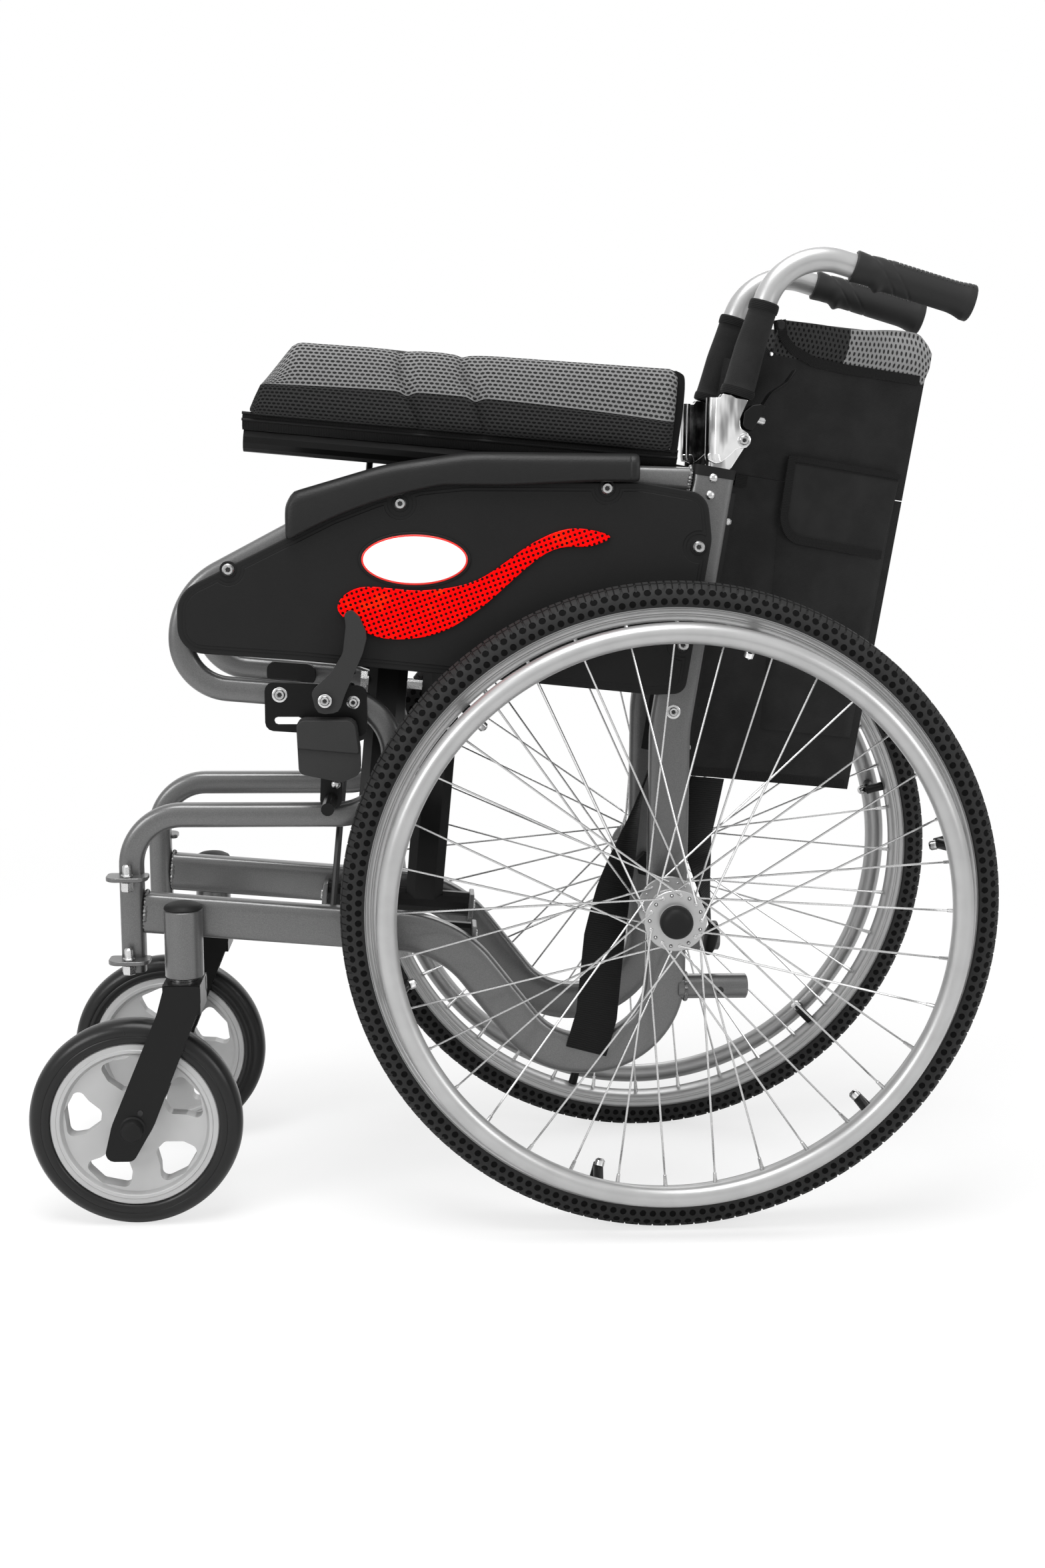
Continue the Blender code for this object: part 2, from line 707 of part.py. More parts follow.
for number in range(SPOKES):
    outer_side = number % 2 == 0
    leading = (number // 2) % 2 == 0
    rim_angle = 2 * math.pi * number / SPOKES
    hub_angle = rim_angle + (HOLE_TURN if leading else -HOLE_TURN)
    flange = -FLANGE_OUT if outer_side else FLANGE_IN
    lift = SPOKE_LIFT if leading else -SPOKE_LIFT
    start = WHEEL_CENTRE + wheel_way(hub_angle) * HOLE_RADIUS + ACROSS * (flange + lift)
    end = WHEEL_CENTRE + wheel_way(rim_angle) * (RIM_INNER + 0.0025)
    spokes.append(rod(start, end, SPOKE_RADIUS, 4))

# Feet on the inner side of the rim, to which the hand rim is screwed
feet = []
for number in range(HANDRIM_STUDS):
    outward = wheel_way(2 * math.pi * (number + 0.25) / HANDRIM_STUDS)
    sideways = outward.cross(ACROSS) * (STUD_RADIUS + 0.0005)
    low = WHEEL_CENTRE + outward * (HANDRIM_RADIUS - STUD_RADIUS)
    high = WHEEL_CENTRE + outward * (RIM_INNER + RIM_CHAMFER)
    rings = []
    corners = (low - sideways, low + sideways, high + sideways, high - sideways)
    for depth in (STUD_FOOT_NEAR, STUD_FOOT_FAR):
        rings.append([corner + ACROSS * depth for corner in corners])
    feet.append(shell(rings))
fuse(wheel, bundle(spokes), bundle(feet), hub)
pair(wheel, "wheel", WHEEL_CENTRE, SILVER, 0.3, 0.9)

# Pneumatic tyre, seated on the rim
tyre_inner = RIM_OUTER + GAP
tube_centre = WHEEL_RADIUS - TYRE_TUBE
seat_angle = math.asin((tube_centre - tyre_inner) / TYRE_TUBE)
tyre_profile = []
for number in range(9):
    angle = -seat_angle + (math.pi + 2 * seat_angle) * number / 8
    tyre_profile.append((tube_centre + TYRE_TUBE * math.sin(angle), TYRE_TUBE * math.cos(angle)))
pair(turned(tyre_profile, WHEEL_CENTRE, (0, 1, 0), 56), "rear_tyre", WHEEL_CENTRE, BLACK, 0.7)

# Hand rim on studs that reach in to the feet of the rim
handrim_profile = []
for number in range(8):
    angle = 2 * math.pi * (number + 0.5) / 8
    handrim_profile.append((HANDRIM_RADIUS + HANDRIM_TUBE * math.cos(angle),
                            -HANDRIM_OFFSET + HANDRIM_TUBE * math.sin(angle)))
handrim = turned(handrim_profile, WHEEL_CENTRE, (0, 1, 0), 48)
studs = []
for number in range(HANDRIM_STUDS):
    middle = WHEEL_CENTRE + wheel_way(2 * math.pi * (number + 0.25) / HANDRIM_STUDS) * HANDRIM_RADIUS
    start = middle - ACROSS * HANDRIM_OFFSET
    end = middle + ACROSS * (STUD_FOOT_NEAR - GAP)
    studs.append(rod(start, end, STUD_RADIUS, 6))
fuse(handrim, bundle(studs))
pair(handrim, "handrim", WHEEL_CENTRE, SILVER, 0.25, 0.9)

# Black cap on the outer end of the hub
cap_start = hub_outer - GAP
cap_profile = [
    (0.0, cap_start),
    (0.0150, cap_start),
    (0.0150, cap_start - 0.009),
    (0.0110, cap_start - 0.0138),
    (0.0, cap_start - 0.0142),
]
pair(turned(cap_profile, WHEEL_CENTRE, (0, 1, 0), 16, joined=False), "hub_cap", WHEEL_CENTRE, BLACK, 0.4)

# Caster fork with its stem
CASTER_CENTRE = Vector((CASTER_X, CASTER_Y, CASTER_RADIUS))
leg_in = CASTER_HALF_WIDTH + 0.0035
leg_out = leg_in + 0.005
leg = rounded_outline(
    [
        (-0.4675, 0.2370),
        (-0.4341, 0.2370),
        (-0.4341, 0.2200),
        (-0.4800, 0.1033),
        (-0.5000, 0.0680),
        (-0.5280, 0.0680),
        (-0.5194, 0.1033),
        (-0.4750, 0.2100),
    ],
    [0.003, 0.003, 0.01, 0.03, 0.008, 0.008, 0.03, 0.01],
    30.0,
)
CASTER_BOLT = 0.0045
BOLT_PROUD = 0.004
fork = plate(leg, CASTER_Y - leg_out, CASTER_Y - leg_in)
crown = block((-0.4690, CASTER_Y - leg_out + 0.001, 0.2095), (-0.4345, CASTER_Y + leg_out - 0.001, 0.2376))
stem = rod((STEM_X, CASTER_Y, 0.2300), (STEM_X, CASTER_Y, HEAD_TUBE_TOP - 0.010), STEM_RADIUS, 12)
bolt_left = (CASTER_X, CASTER_Y - leg_out - BOLT_PROUD, CASTER_RADIUS)
bolt_right = (CASTER_X, CASTER_Y + leg_out + BOLT_PROUD, CASTER_RADIUS)
bolt = rod(bolt_left, bolt_right, CASTER_BOLT, 10)
fuse(fork, plate(leg, CASTER_Y + leg_in, CASTER_Y + leg_out), crown, stem, bolt)
pair(fork, "caster_fork", (STEM_X, CASTER_Y, CASTER_RADIUS), BLACK, 0.4)

# Caster wheel with five openings, and its tyre
WEB_RADIUS = 0.0790
web_profile = [
    (0.0048, -0.0170),
    (0.0150, -0.0170),
    (0.0170, -0.0085),
    (0.0680, -0.0085),
    (0.0710, -0.0125),
    (WEB_RADIUS, -0.0125),
    (WEB_RADIUS, 0.0125),
    (0.0710, 0.0125),
    (0.0680, 0.0085),
    (0.0170, 0.0085),
    (0.0150, 0.0170),
    (0.0048, 0.0170),
]
web = turned(web_profile, CASTER_CENTRE, (0, 1, 0), 30)
WINDOWS = 5
WINDOW_REACH = math.radians(50.0)
WINDOW_OUTER = 0.0620
WINDOW_INNER = 0.0290
for number in range(WINDOWS):
    start = 2 * math.pi * number / WINDOWS
    outline = []
    for part in range(5):
        way = wheel_way(start + WINDOW_REACH * part / 4) * WINDOW_OUTER
        outline.append((CASTER_X + way.x, CASTER_RADIUS + way.z))
    for part in range(3):
        way = wheel_way(start + WINDOW_REACH * (1.0 - (part + 0.5) / 3)) * WINDOW_INNER
        outline.append((CASTER_X + way.x, CASTER_RADIUS + way.z))
    cut(web, plate(outline, CASTER_Y - 0.03, CASTER_Y + 0.03))
pair(web, "caster_wheel", CASTER_CENTRE, GREY, 0.5)
caster_tyre_profile = [
    (WEB_RADIUS + GAP, -0.0125),
    (0.0860, -CASTER_HALF_WIDTH),
    (0.0930, -0.0140),
    (0.0985, -0.0080),
    (CASTER_RADIUS, 0.0),
    (0.0985, 0.0080),
    (0.0930, 0.0140),
    (0.0860, CASTER_HALF_WIDTH),
    (WEB_RADIUS + GAP, 0.0125),
]
pair(turned(caster_tyre_profile, CASTER_CENTRE, (0, 1, 0), 40), "caster_tyre", CASTER_CENTRE, BLACK, 0.7)

# Wheel lock: plate and boss on the brake run, lever, cover and shoe
plate_inner = FRAME_Y - TUBE_DEPTH / 2 - GAP
plate_outer = plate_inner - BRAKE_PLATE
BOSS_OUTER = -0.1176
BOSS_RADIUS = 0.0085
BRAKE_PIN = 0.0036
SLOT_ROUND = 0.0034


def from_pivot(points):
    """Points of the wheel lock, given from its lever's pivot along X."""
    return [(BRAKE_PIVOT_X + x, z) for x, z in points]


def pivot_at(y):
    return (BRAKE_PIVOT_X, y, BRAKE_PIVOT_Z)


bracket_corners = from_pivot([(-0.0566, 0.4700), (0.0366, 0.4640), (0.0366, 0.5110), (-0.0566, 0.5147)])
bracket = plate(rounded_outline(bracket_corners, [0.008] * 4, 30.0), plate_outer, plate_inner)
slot_corners = from_pivot([(-0.0482, 0.4755), (-0.0227, 0.4755), (-0.0227, 0.4827), (-0.0482, 0.4827)])
slot = rounded_outline(slot_corners, [SLOT_ROUND] * 4, 45.0)
cut(bracket, plate(slot, plate_outer - 0.01, plate_inner + 0.01))
fuse(bracket,
     rod(pivot_at(plate_inner - 0.001), pivot_at(BOSS_OUTER), BOSS_RADIUS, 12),
     rod(pivot_at(BOSS_OUTER + 0.001), pivot_at(BOSS_OUTER - 0.0130), BRAKE_PIN, 8))
pair(bracket, "brake_bracket", STILL, BLACK, 0.4)

lever_inner = BOSS_OUTER - GAP
LEVER_THICK = 0.010
lever_outline = rounded_outline(
    from_pivot([
        (0.0180, 0.5790),
        (0.0243, 0.5830),
        (0.0315, 0.5760),
        (0.0385, 0.5600),
        (0.0342, 0.5435),
        (0.0173, 0.5047),
        (0.0125, 0.4900),
        (-0.0076, 0.4880),
        (-0.0125, 0.5089),
        (0.0052, 0.5255),
        (0.0164, 0.5435),
        (0.0194, 0.5683),
    ]),
    [0.003, 0.004, 0.004, 0.01, 0.01, 0.01, 0.008, 0.008, 0.006, 0.0, 0.01, 0.01],
    45.0,
)
lever = plate(lever_outline, lever_inner - LEVER_THICK, lever_inner)
cut(lever, rod(pivot_at(lever_inner - 0.02), pivot_at(lever_inner + 0.01), BRAKE_PIN + 0.0004, 10))
pair(lever, "brake_lever", (BRAKE_PIVOT_X, lever_inner, BRAKE_PIVOT_Z), BLACK, 0.5)

arm_outer = plate_outer - 0.0004
arm_depth = 0.005
COVER_OUTER = -0.1250
cover_inner = arm_outer - arm_depth - 0.0004
cover_corners = from_pivot([
    (-0.0247, 0.4335),
    (0.0140, 0.4255),
    (0.0312, 0.4330),
    (0.0308, 0.4560),
    (0.0270, 0.4834),
    (-0.0267, 0.4834),
])
cover = plate(rounded_outline(cover_corners, [0.006, 0.004, 0.008, 0.0, 0.009, 0.007], 30.0),
              COVER_OUTER, cover_inner)
pair(cover, "brake_cover", STILL, BLACK, 0.45)

PEG_X = BRAKE_PIVOT_X + 0.0030
PEG_Z = 0.4071
PEG_RADIUS = 0.006
PEG_OUTER = -0.1600
shoe_corners = [
    (SHOE_PIVOT_X - 0.0100, SHOE_PIVOT_Z + 0.0090),
    (PEG_X - 0.0105, PEG_Z - 0.0090),
    (PEG_X + 0.0095, PEG_Z - 0.0095),
    (SHOE_PIVOT_X + 0.0100, SHOE_PIVOT_Z + 0.0090),
]
shoe = plate(rounded_outline(shoe_corners, [0.008] * 4, 30.0), arm_outer - arm_depth, arm_outer)
fuse(shoe, rod((PEG_X, arm_outer - 0.001, PEG_Z), (PEG_X, PEG_OUTER, PEG_Z), PEG_RADIUS, 12))
pair(shoe, "brake_shoe", (SHOE_PIVOT_X, arm_outer, SHOE_PIVOT_Z), BLACK, 0.4)

# Cane hinge: two cheeks on either side of the post's tongue, joined above it
CHEEK_IN = TONGUE_HALF + 0.0004
CHEEK_OUT = 0.0092
cane_way = Vector((CANE_CORNER_X - POST_TOP_X, CANE_CORNER_Z - POST_TOP_Z)).normalized()


def cane_point(z):
    """The cane's middle line at height z, as (x, z)."""
    distance = (z - POST_TOP_Z) / cane_way.y
    return Vector((POST_TOP_X + cane_way.x * distance, z))


cane_start = cane_point(CANE_START_Z)
cane_side = Vector((cane_way.y, -cane_way.x))
bracket_top_front = cane_start - cane_side * 0.0125 - cane_way * GAP
bracket_top_rear = cane_start + cane_side * 0.0105 - cane_way * GAP
cheek = [
    (0.0290, 0.7150),
    (0.0690, 0.7150),
    (0.0720, 0.7330),
    (0.0690, 0.7415),
    (0.0590, 0.7440),
    tuple(bracket_top_rear),
    tuple(bracket_top_front),
]
web_block = [
    (0.0345, CANE_PIVOT_Z + 0.0140),
    (0.0590, CANE_PIVOT_Z + 0.0140),
    tuple(bracket_top_rear),
    tuple(bracket_top_front),
]
hinge = plate(cheek, FRAME_Y - CHEEK_OUT, FRAME_Y - CHEEK_IN)
hinge_pin_left = (CANE_PIVOT_X, FRAME_Y - CHEEK_OUT - 0.0022, CANE_PIVOT_Z)
hinge_pin_right = (CANE_PIVOT_X, FRAME_Y + CHEEK_OUT + 0.0006, CANE_PIVOT_Z)
fuse(hinge,
     plate(web_block, FRAME_Y - CHEEK_OUT + 0.001, FRAME_Y + CHEEK_OUT - 0.001),
     plate(cheek, FRAME_Y + CHEEK_IN, FRAME_Y + CHEEK_OUT),
     rod(hinge_pin_left, hinge_pin_right, CANE_PIN, 10))
ear = [
    (0.0560, 0.7495),
    (0.0800, 0.7455),
    (0.0862, 0.7480),
    (0.0870, 0.7540),
    (0.0820, 0.7580),
    (0.0560, 0.7620),
]
EAR_HALF = 0.0020
RELEASE_PIN = 0.0026


def lever_pin(y):
    return (LEVER_PIN_X, y, LEVER_PIN_Z)


fuse(hinge, plate(ear, FRAME_Y - EAR_HALF, FRAME_Y + EAR_HALF))
cut(hinge, rod(lever_pin(FRAME_Y - 0.01), lever_pin(FRAME_Y + 0.01), RELEASE_PIN + 0.0004, 8))
pair(hinge, "back_hinge", (CANE_PIVOT_X, FRAME_Y, CANE_PIVOT_Z), SILVER, 0.15, 1.0)

# Release lever of the cane hinge: two cheeks over the ear, a pin and a blade
release_cheek = [
    (0.0640, 0.7460),
    (0.0800, 0.7430),
    (0.0870, 0.7480),
    (0.0865, 0.7570),
    (0.0819, 0.7653),
    (0.0640, 0.7640),
]
blade = [
    (0.0720, 0.7600),
    (0.0835, 0.7600),
    (0.0930, 0.7690),
    (0.1091, 0.7968),
    (0.1050, 0.7985),
    (0.0880, 0.7760),
]
RELEASE_IN = EAR_HALF + 0.0004
RELEASE_OUT = 0.0052
release = plate(release_cheek, FRAME_Y - RELEASE_OUT, FRAME_Y - RELEASE_IN)
fuse(release,
     plate(blade, FRAME_Y - RELEASE_OUT, FRAME_Y + RELEASE_OUT),
     plate(release_cheek, FRAME_Y + RELEASE_IN, FRAME_Y + RELEASE_OUT),
     rod(lever_pin(FRAME_Y - RELEASE_OUT - 0.001), lever_pin(FRAME_Y + RELEASE_OUT + 0.001), RELEASE_PIN, 8))
ear_room = [(0.0500, 0.7450), (0.0900, 0.7400), (0.0900, 0.7588), (0.0820, 0.7590), (0.0500, 0.7630)]
cut(release, plate(ear_room, FRAME_Y - RELEASE_IN, FRAME_Y))
pair(release, "release_lever", (LEVER_PIN_X, FRAME_Y, LEVER_PIN_Z), SILVER, 0.2, 1.0)

# Push cane and its grip
grip_way = Vector((cane_way.y, -cane_way.x))
corner = Vector((CANE_CORNER_X, CANE_CORNER_Z))
grip_start = corner + grip_way * GRIP_GAP
cane_end = grip_start + grip_way * 0.060
cane_path = rounded([cane_start, corner, cane_end], [CANE_BEND], 11.0)
pair(sweep(cane_path, ellipse(2 * CANE_RADIUS, 2 * CANE_RADIUS), FRAME_Y), "upper_cane",
     (CANE_PIVOT_X, FRAME_Y, CANE_PIVOT_Z), SILVER, 0.3, 0.9)
grip_profile = [
    (0.0, 0.0615),
    (CANE_RADIUS + GAP, 0.0615),
    (CANE_RADIUS + GAP, 0.0),
    (0.0145, 0.0),
    (0.0140, 0.006),
    (0.0140, GRIP_LENGTH - 0.020),
    (0.0172, GRIP_LENGTH - 0.006),
    (0.0165, GRIP_LENGTH),
    (0.0, GRIP_LENGTH),
]
grip_base = Vector((grip_start.x, FRAME_Y, grip_start.y))
grip_axis = Vector((grip_way.x, 0.0, grip_way.y))
pair(turned(grip_profile, grip_base, grip_axis, 14, joined=False), "push_grip",
     (CANE_PIVOT_X, FRAME_Y, CANE_PIVOT_Z), BLACK, 0.6)

# Back halves, each turning about an upright line along the inner side of its post
lean = math.atan2(POST_TOP_X - POST_X, POST_TOP_Z - POST_BEND_Z)
back_up = Vector((math.sin(lean), 0.0, math.cos(lean)))
back_rear = Vector((math.cos(lean), 0.0, -math.sin(lean)))
back_foot = Vector((POST_X, FRAME_Y + BACK_AXIS_INSET, POST_BEND_Z))
back_out = ACROSS * math.cos(BACK_FOLDED) + back_rear * math.sin(BACK_FOLDED)
back_face = back_up.cross(back_out).normalized()


def back_point(away, z, depth):
    """A point of the folded back: away from its hinge line, at height z on that line, through its cloth."""
    rise = (z - POST_BEND_Z) / back_up.z
    return back_foot + back_up * rise + back_out * away + back_face * depth


def back_meets(depth):
    """How far from its hinge line a half of the folded back meets the other half."""
    return (-GAP - back_foot.y - depth * back_face.y) / back_out.y


BACK_HALF = BACK_THICK / 2
SIDES = (-BACK_HALF, BACK_HALF)
lower_corners = [
    (BACK_START, BACK_BOTTOM),
    (BACK_WIDTH, BACK_BOTTOM),
    (BACK_WIDTH, BACK_SPLIT),
    (BACK_START, BACK_SPLIT),
]
lower_outline = rounded_outline(lower_corners, [0.012, 0.0, 0.0, 0.0], 30.0)
lower_back = shell([[back_point(away, z, depth) for away, z in lower_outline] for depth in SIDES])
pair(lower_back, "back_lower", back_foot, CLOTH, 0.9)

# Soft strip along the fold, and the upper part of the cloth that goes down with the cane
edge_start = BACK_WIDTH + GAP
edge_rings = []
upper_rings = []
for depth in SIDES:
    meets = back_meets(depth)
    edge = [(edge_start, BACK_BOTTOM), (meets, BACK_BOTTOM), (meets, BACK_SPLIT), (edge_start, BACK_SPLIT)]
    edge_rings.append([back_point(away, z, depth) for away, z in edge])
    upper_low = BACK_SPLIT + 0.0008
    upper = [(0.0260, upper_low), (meets, upper_low), (meets, BACK_TOP), (0.0150, BACK_TOP), (0.0150, 0.790),
             (0.0260, 0.780)]
    upper_rings.append([back_point(away, z, depth) for away, z in upper])
pair(shell(edge_rings), "back_edge", back_foot, CLOTH, 0.9)
pair(shell(upper_rings), "back_upper", back_foot, CLOTH, 0.9)

# Pocket behind the left half of the back
pocket_face = -BACK_HALF - GAP
pocket_outline = rounded_outline([(0.045, 0.560), (0.175, 0.560), (0.175, BACK_SPLIT), (0.045, BACK_SPLIT)],
                                 [0.012, 0.012, 0.0, 0.0], 45.0)
pocket = shell([[back_point(away, z, depth) for away, z in pocket_outline]
                for depth in (pocket_face - 0.004, pocket_face)])
finish(pocket, "back_pocket", back_foot, CLOTH, 0.9)

# Seat halves: the outer part stands on its rail, the inner part hangs down from its crest
crest = RAIL_HEIGHT + SEAT_CREST
outer_low = RAIL_HEIGHT + RAIL_RADIUS + GAP
pad_height = max((point.x - PIVOT_X) * UP.x + (point.y - PIVOT_Z) * UP.z for point in pad_top)
step_up = pad_height + SEAT_OVER_PAD
step_y = -RAIL_Y - SEAT_THICK / 2
seat_foot = 0.0065
foot_low = RAIL_HEIGHT + math.sqrt((RAIL_RADIUS + GAP) ** 2 - seat_foot ** 2)
outer_section = [
    (-RAIL_Y - seat_foot, foot_low),
    (-RAIL_Y, outer_low + 0.0095),
    (-RAIL_Y, crest),
    (-RAIL_Y - SEAT_THICK + 0.004, crest),
    (-RAIL_Y - SEAT_THICK, crest - 0.006),
    (-RAIL_Y - SEAT_THICK, step_up),
    (step_y, step_up),
    (step_y, outer_low),
]
outer_rings = []
for place in (SEAT_FRONT, SEAT_REAR):
    outer_rings.append([gear_point(place, y, up) for y, up in outer_section])
outer_seat = shell(outer_rings)
slope_foot = (SEAT_FRONT, crest - SEAT_SLOPE_DROP)
slope_head = (SEAT_FRONT + SEAT_SLOPE_RUN, crest)
corner_piece = [(SEAT_FRONT - 0.01, crest - SEAT_SLOPE_DROP)]
front_slope = rounded([slope_foot, slope_head, (SEAT_REAR, crest)], [SEAT_ROUND], 22.5)
corner_piece += [tuple(point) for point in front_slope[:-1]]
corner_piece += [(corner_piece[-1][0], crest + 0.01), (SEAT_FRONT - 0.01, crest + 0.01)]
cut(outer_seat, shell([[gear_point(place, y, up) for place, up in corner_piece] for y in (-0.2, 0.0)]))
crest_line = gear_point(0.0, -RAIL_Y, crest)
pair(outer_seat, "seat_outer", gear_point(0.0, -RAIL_Y, RAIL_HEIGHT), CLOTH, 0.9)
down = ACROSS * math.sin(SEAT_INNER_LEAN) - UP * math.cos(SEAT_INNER_LEAN)
inward = ACROSS * math.cos(SEAT_INNER_LEAN) + UP * math.sin(SEAT_INNER_LEAN)
hang_start = 0.0012
inner_section = [
    (hang_start, GAP),
    (SEAT_INNER_LENGTH, GAP),
    (SEAT_INNER_LENGTH, SEAT_THICK - SEAT_BEVEL),
    (SEAT_INNER_LENGTH - SEAT_BEVEL, SEAT_THICK),
    (hang_start + 0.006, SEAT_THICK),
    (hang_start, SEAT_THICK - 0.006),
]


def hanging(place, away, depth):
    """A point of the inner seat half: along the crest, down from it, and through the cushion."""
    return crest_line + ALONG * place + down * away + inward * depth


inner_rings = []
for place in (SEAT_FRONT + 0.006, SEAT_REAR - 0.002):
    inner_rings.append([hanging(place, away, depth) for away, depth in inner_section])
inner_seat = shell(inner_rings)
corner_cutters = (
    (SEAT_FRONT - 0.01, -0.01),
    (SEAT_FRONT + SEAT_SLOPE_RUN, -0.01),
    (SEAT_FRONT + SEAT_SLOPE_RUN, 0.0),
    (SEAT_FRONT, SEAT_SLOPE_DROP),
    (SEAT_FRONT - 0.01, SEAT_SLOPE_DROP),
)
cutter_rings = []
for depth in (-0.02, 0.06):
    cutter_rings.append([hanging(place, away, depth) for place, away in corner_cutters])
cut(inner_seat, shell(cutter_rings))
pair(inner_seat, "seat_inner", crest_line, CLOTH, 0.9)


STAY_PLACE = -0.061
STAY_RADIUS = 0.0032


def cross_link(sign):
    """One arm of the folding cross with its seat rail; sign +1 rises to the right, -1 to the left."""
    place = -LINK_OFFSET * sign
    foot = gear_point(place, -sign * LOWER_PIVOT_Y, 0.0)
    head = gear_point(place, sign * RAIL_Y, RAIL_HEIGHT)
    rise = (head - foot).normalized()
    thick = ALONG.cross(rise).normalized()
    arm = bar(foot, head, ALONG * LINK_WIDTH / 2, thick * LINK_DEPTH / 2)
    sleeve_front = gear_point(-SLEEVE_HALF, -sign * LOWER_PIVOT_Y, 0.0)
    sleeve_rear = gear_point(SLEEVE_HALF, -sign * LOWER_PIVOT_Y, 0.0)
    rail_front = gear_point(RAIL_FRONT, sign * RAIL_Y, RAIL_HEIGHT)
    rail_rear = gear_point(RAIL_REAR, sign * RAIL_Y, RAIL_HEIGHT)
    sleeve = rod(sleeve_front, sleeve_rear, SLEEVE_RADIUS, 12)
    rail = rod(rail_front, rail_rear, RAIL_RADIUS, 14)
    fuse(arm, sleeve, rail)
    if sign > 0:
        stay_low = gear_point(STAY_PLACE, -sign * LOWER_PIVOT_Y, 0.0)
        stay_high = gear_point(STAY_PLACE, sign * RAIL_Y, RAIL_HEIGHT)
        fuse(arm, rod(stay_low, stay_high, STAY_RADIUS, 8))
    for end in (-1, 1):
        mouth = gear_point(end * (SLEEVE_HALF + 0.005), -sign * LOWER_PIVOT_Y, 0.0)
        deep = gear_point(end * (SLEEVE_HALF - pin_reach - 0.001), -sign * LOWER_PIVOT_Y, 0.0)
        cut(arm, rod(mouth, deep, PIVOT_PIN + GAP, 10))
    bore_front = gear_point(-0.07, 0.0, cross_height)
    bore_rear = gear_point(0.07, 0.0, cross_height)
    cut(arm, rod(bore_front, bore_rear, PIVOT_PIN + GAP, 10))
    return arm, foot


cross_height = RAIL_HEIGHT * LOWER_PIVOT_Y / (LOWER_PIVOT_Y + RAIL_Y)
arm_right, foot_right = cross_link(1)
arm_left, foot_left = cross_link(-1)
finish(arm_right, "right_cross_link", foot_right, BLACK, 0.4, 0.5)
centre_line = gear_point(0.0, 0.0, cross_height)
finish(arm_left, "left_cross_link", centre_line, BLACK, 0.4, 0.5)

# Bolt where the two arms cross
BOLT_HEAD_RADIUS = 0.009
BOLT_HEAD_THICK = 0.006
head_start = LINK_OFFSET + LINK_WIDTH / 2 + GAP
shank_end = head_start + 0.004
head_end = head_start + BOLT_HEAD_THICK


def bolt_point(place):
    return gear_point(place, 0.0, cross_height)


cross_bolt = fuse(
    rod(bolt_point(-shank_end), bolt_point(shank_end), PIVOT_PIN, 10),
    rod(bolt_point(-head_end), bolt_point(-head_start), BOLT_HEAD_RADIUS, 6),
    rod(bolt_point(head_start), bolt_point(head_end), BOLT_HEAD_RADIUS, 6),
)
finish(cross_bolt, "cross_pivot_bolt", centre_line, SILVER, 0.3, 0.9)

# Waist belt in two lengths of webbing
STRAP_THICK = 0.0018
STRAP_HALF = 0.0190
STRAP_STEPS = 8


def strap(stations):
    """A band of webbing; each station has a middle point, its way across and its half width."""
    rings = []
    for first, second in zip(stations[:-1], stations[1:]):
        for number in range(STRAP_STEPS):
            rings.append(strap_ring(first, second, number / STRAP_STEPS))
    rings.append(strap_ring(stations[-2], stations[-1], 1.0))
    return shell(rings)


def strap_ring(first, second, share):
    middle = first[0].lerp(second[0], share)
    way = (second[0] - first[0]).normalized()
    across = first[1].lerp(second[1], share)
    across = (across - way * across.dot(way)).normalized()
    half = first[2] + (second[2] - first[2]) * share
    thick = way.cross(across).normalized() * STRAP_THICK / 2
    across = across * half
    near = [middle - across - thick, middle + across - thick]
    return near + [middle + across + thick, middle - across + thick]


# One length starts inside the left post, passes out through the frame and lies over the dip of the lower rail
strap_in = FRAME_Y + TUBE_DEPTH / 2 + GAP + STRAP_HALF
strap_out = FRAME_Y - TUBE_DEPTH / 2 - GAP - STRAP_THICK / 2
front_strap = strap([
    (Vector((-0.0085, strap_in, 0.4480)), Vector((0.0, 1.0, 0.0)), STRAP_HALF),
    (Vector((-0.0250, strap_in, 0.3900)), Vector((0.30, 0.95, 0.0)), STRAP_HALF),
    (Vector((-0.0470, -0.0640, 0.3100)), Vector((0.90, 0.40, -0.10)), STRAP_HALF),
    (Vector((-0.0560, -0.0725, 0.2650)), Vector((1.0, 0.05, -0.20)), STRAP_HALF + 0.001),
    (Vector((-0.0650, strap_out, 0.1950)), Vector((1.0, 0.0, -0.45)), STRAP_HALF + 0.001),
    (Vector((-0.0745, strap_out, 0.1600)), Vector((1.0, 0.0, -0.55)), STRAP_HALF + 0.001),
])
finish(front_strap, "strap_front", STILL, CLOTH, 0.9)

# The other hangs from the hem of the left half of the back, with its buckle at the end
hem = back_point(0.052, BACK_BOTTOM, 0.0) - back_up * GAP
rear_strap = strap([
    (hem, back_out, STRAP_HALF),
    (hem - back_up * 0.060, Vector((0.90, 0.60, 0.0)), STRAP_HALF),
    (hem + Vector((0.0070, 0.0040, -0.1450)), Vector((0.15, 1.0, 0.0)), 0.012),
])
buckle_low = hem + Vector((0.0020, -0.0060, -0.1740))
buckle_high = hem + Vector((0.0140, 0.0140, -0.1440))
fuse(rear_strap, block(buckle_low, buckle_high))
finish(rear_strap, "strap_rear", back_foot, CLOTH, 0.9)
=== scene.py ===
# %% [markdown]
# # A folding wheelchair, folded flat
# This lesson dresses a finished CAD model of a folding wheelchair. The CAD solids stay where they are and
# keep their joints. Each visible surface gets either a finish on the CAD solid itself or a finer piece that
# stands in its place and moves with the same body.

# %% Tools and the frame
import json
import math

import bmesh
import bpy
from mathutils import Matrix, Vector, noise

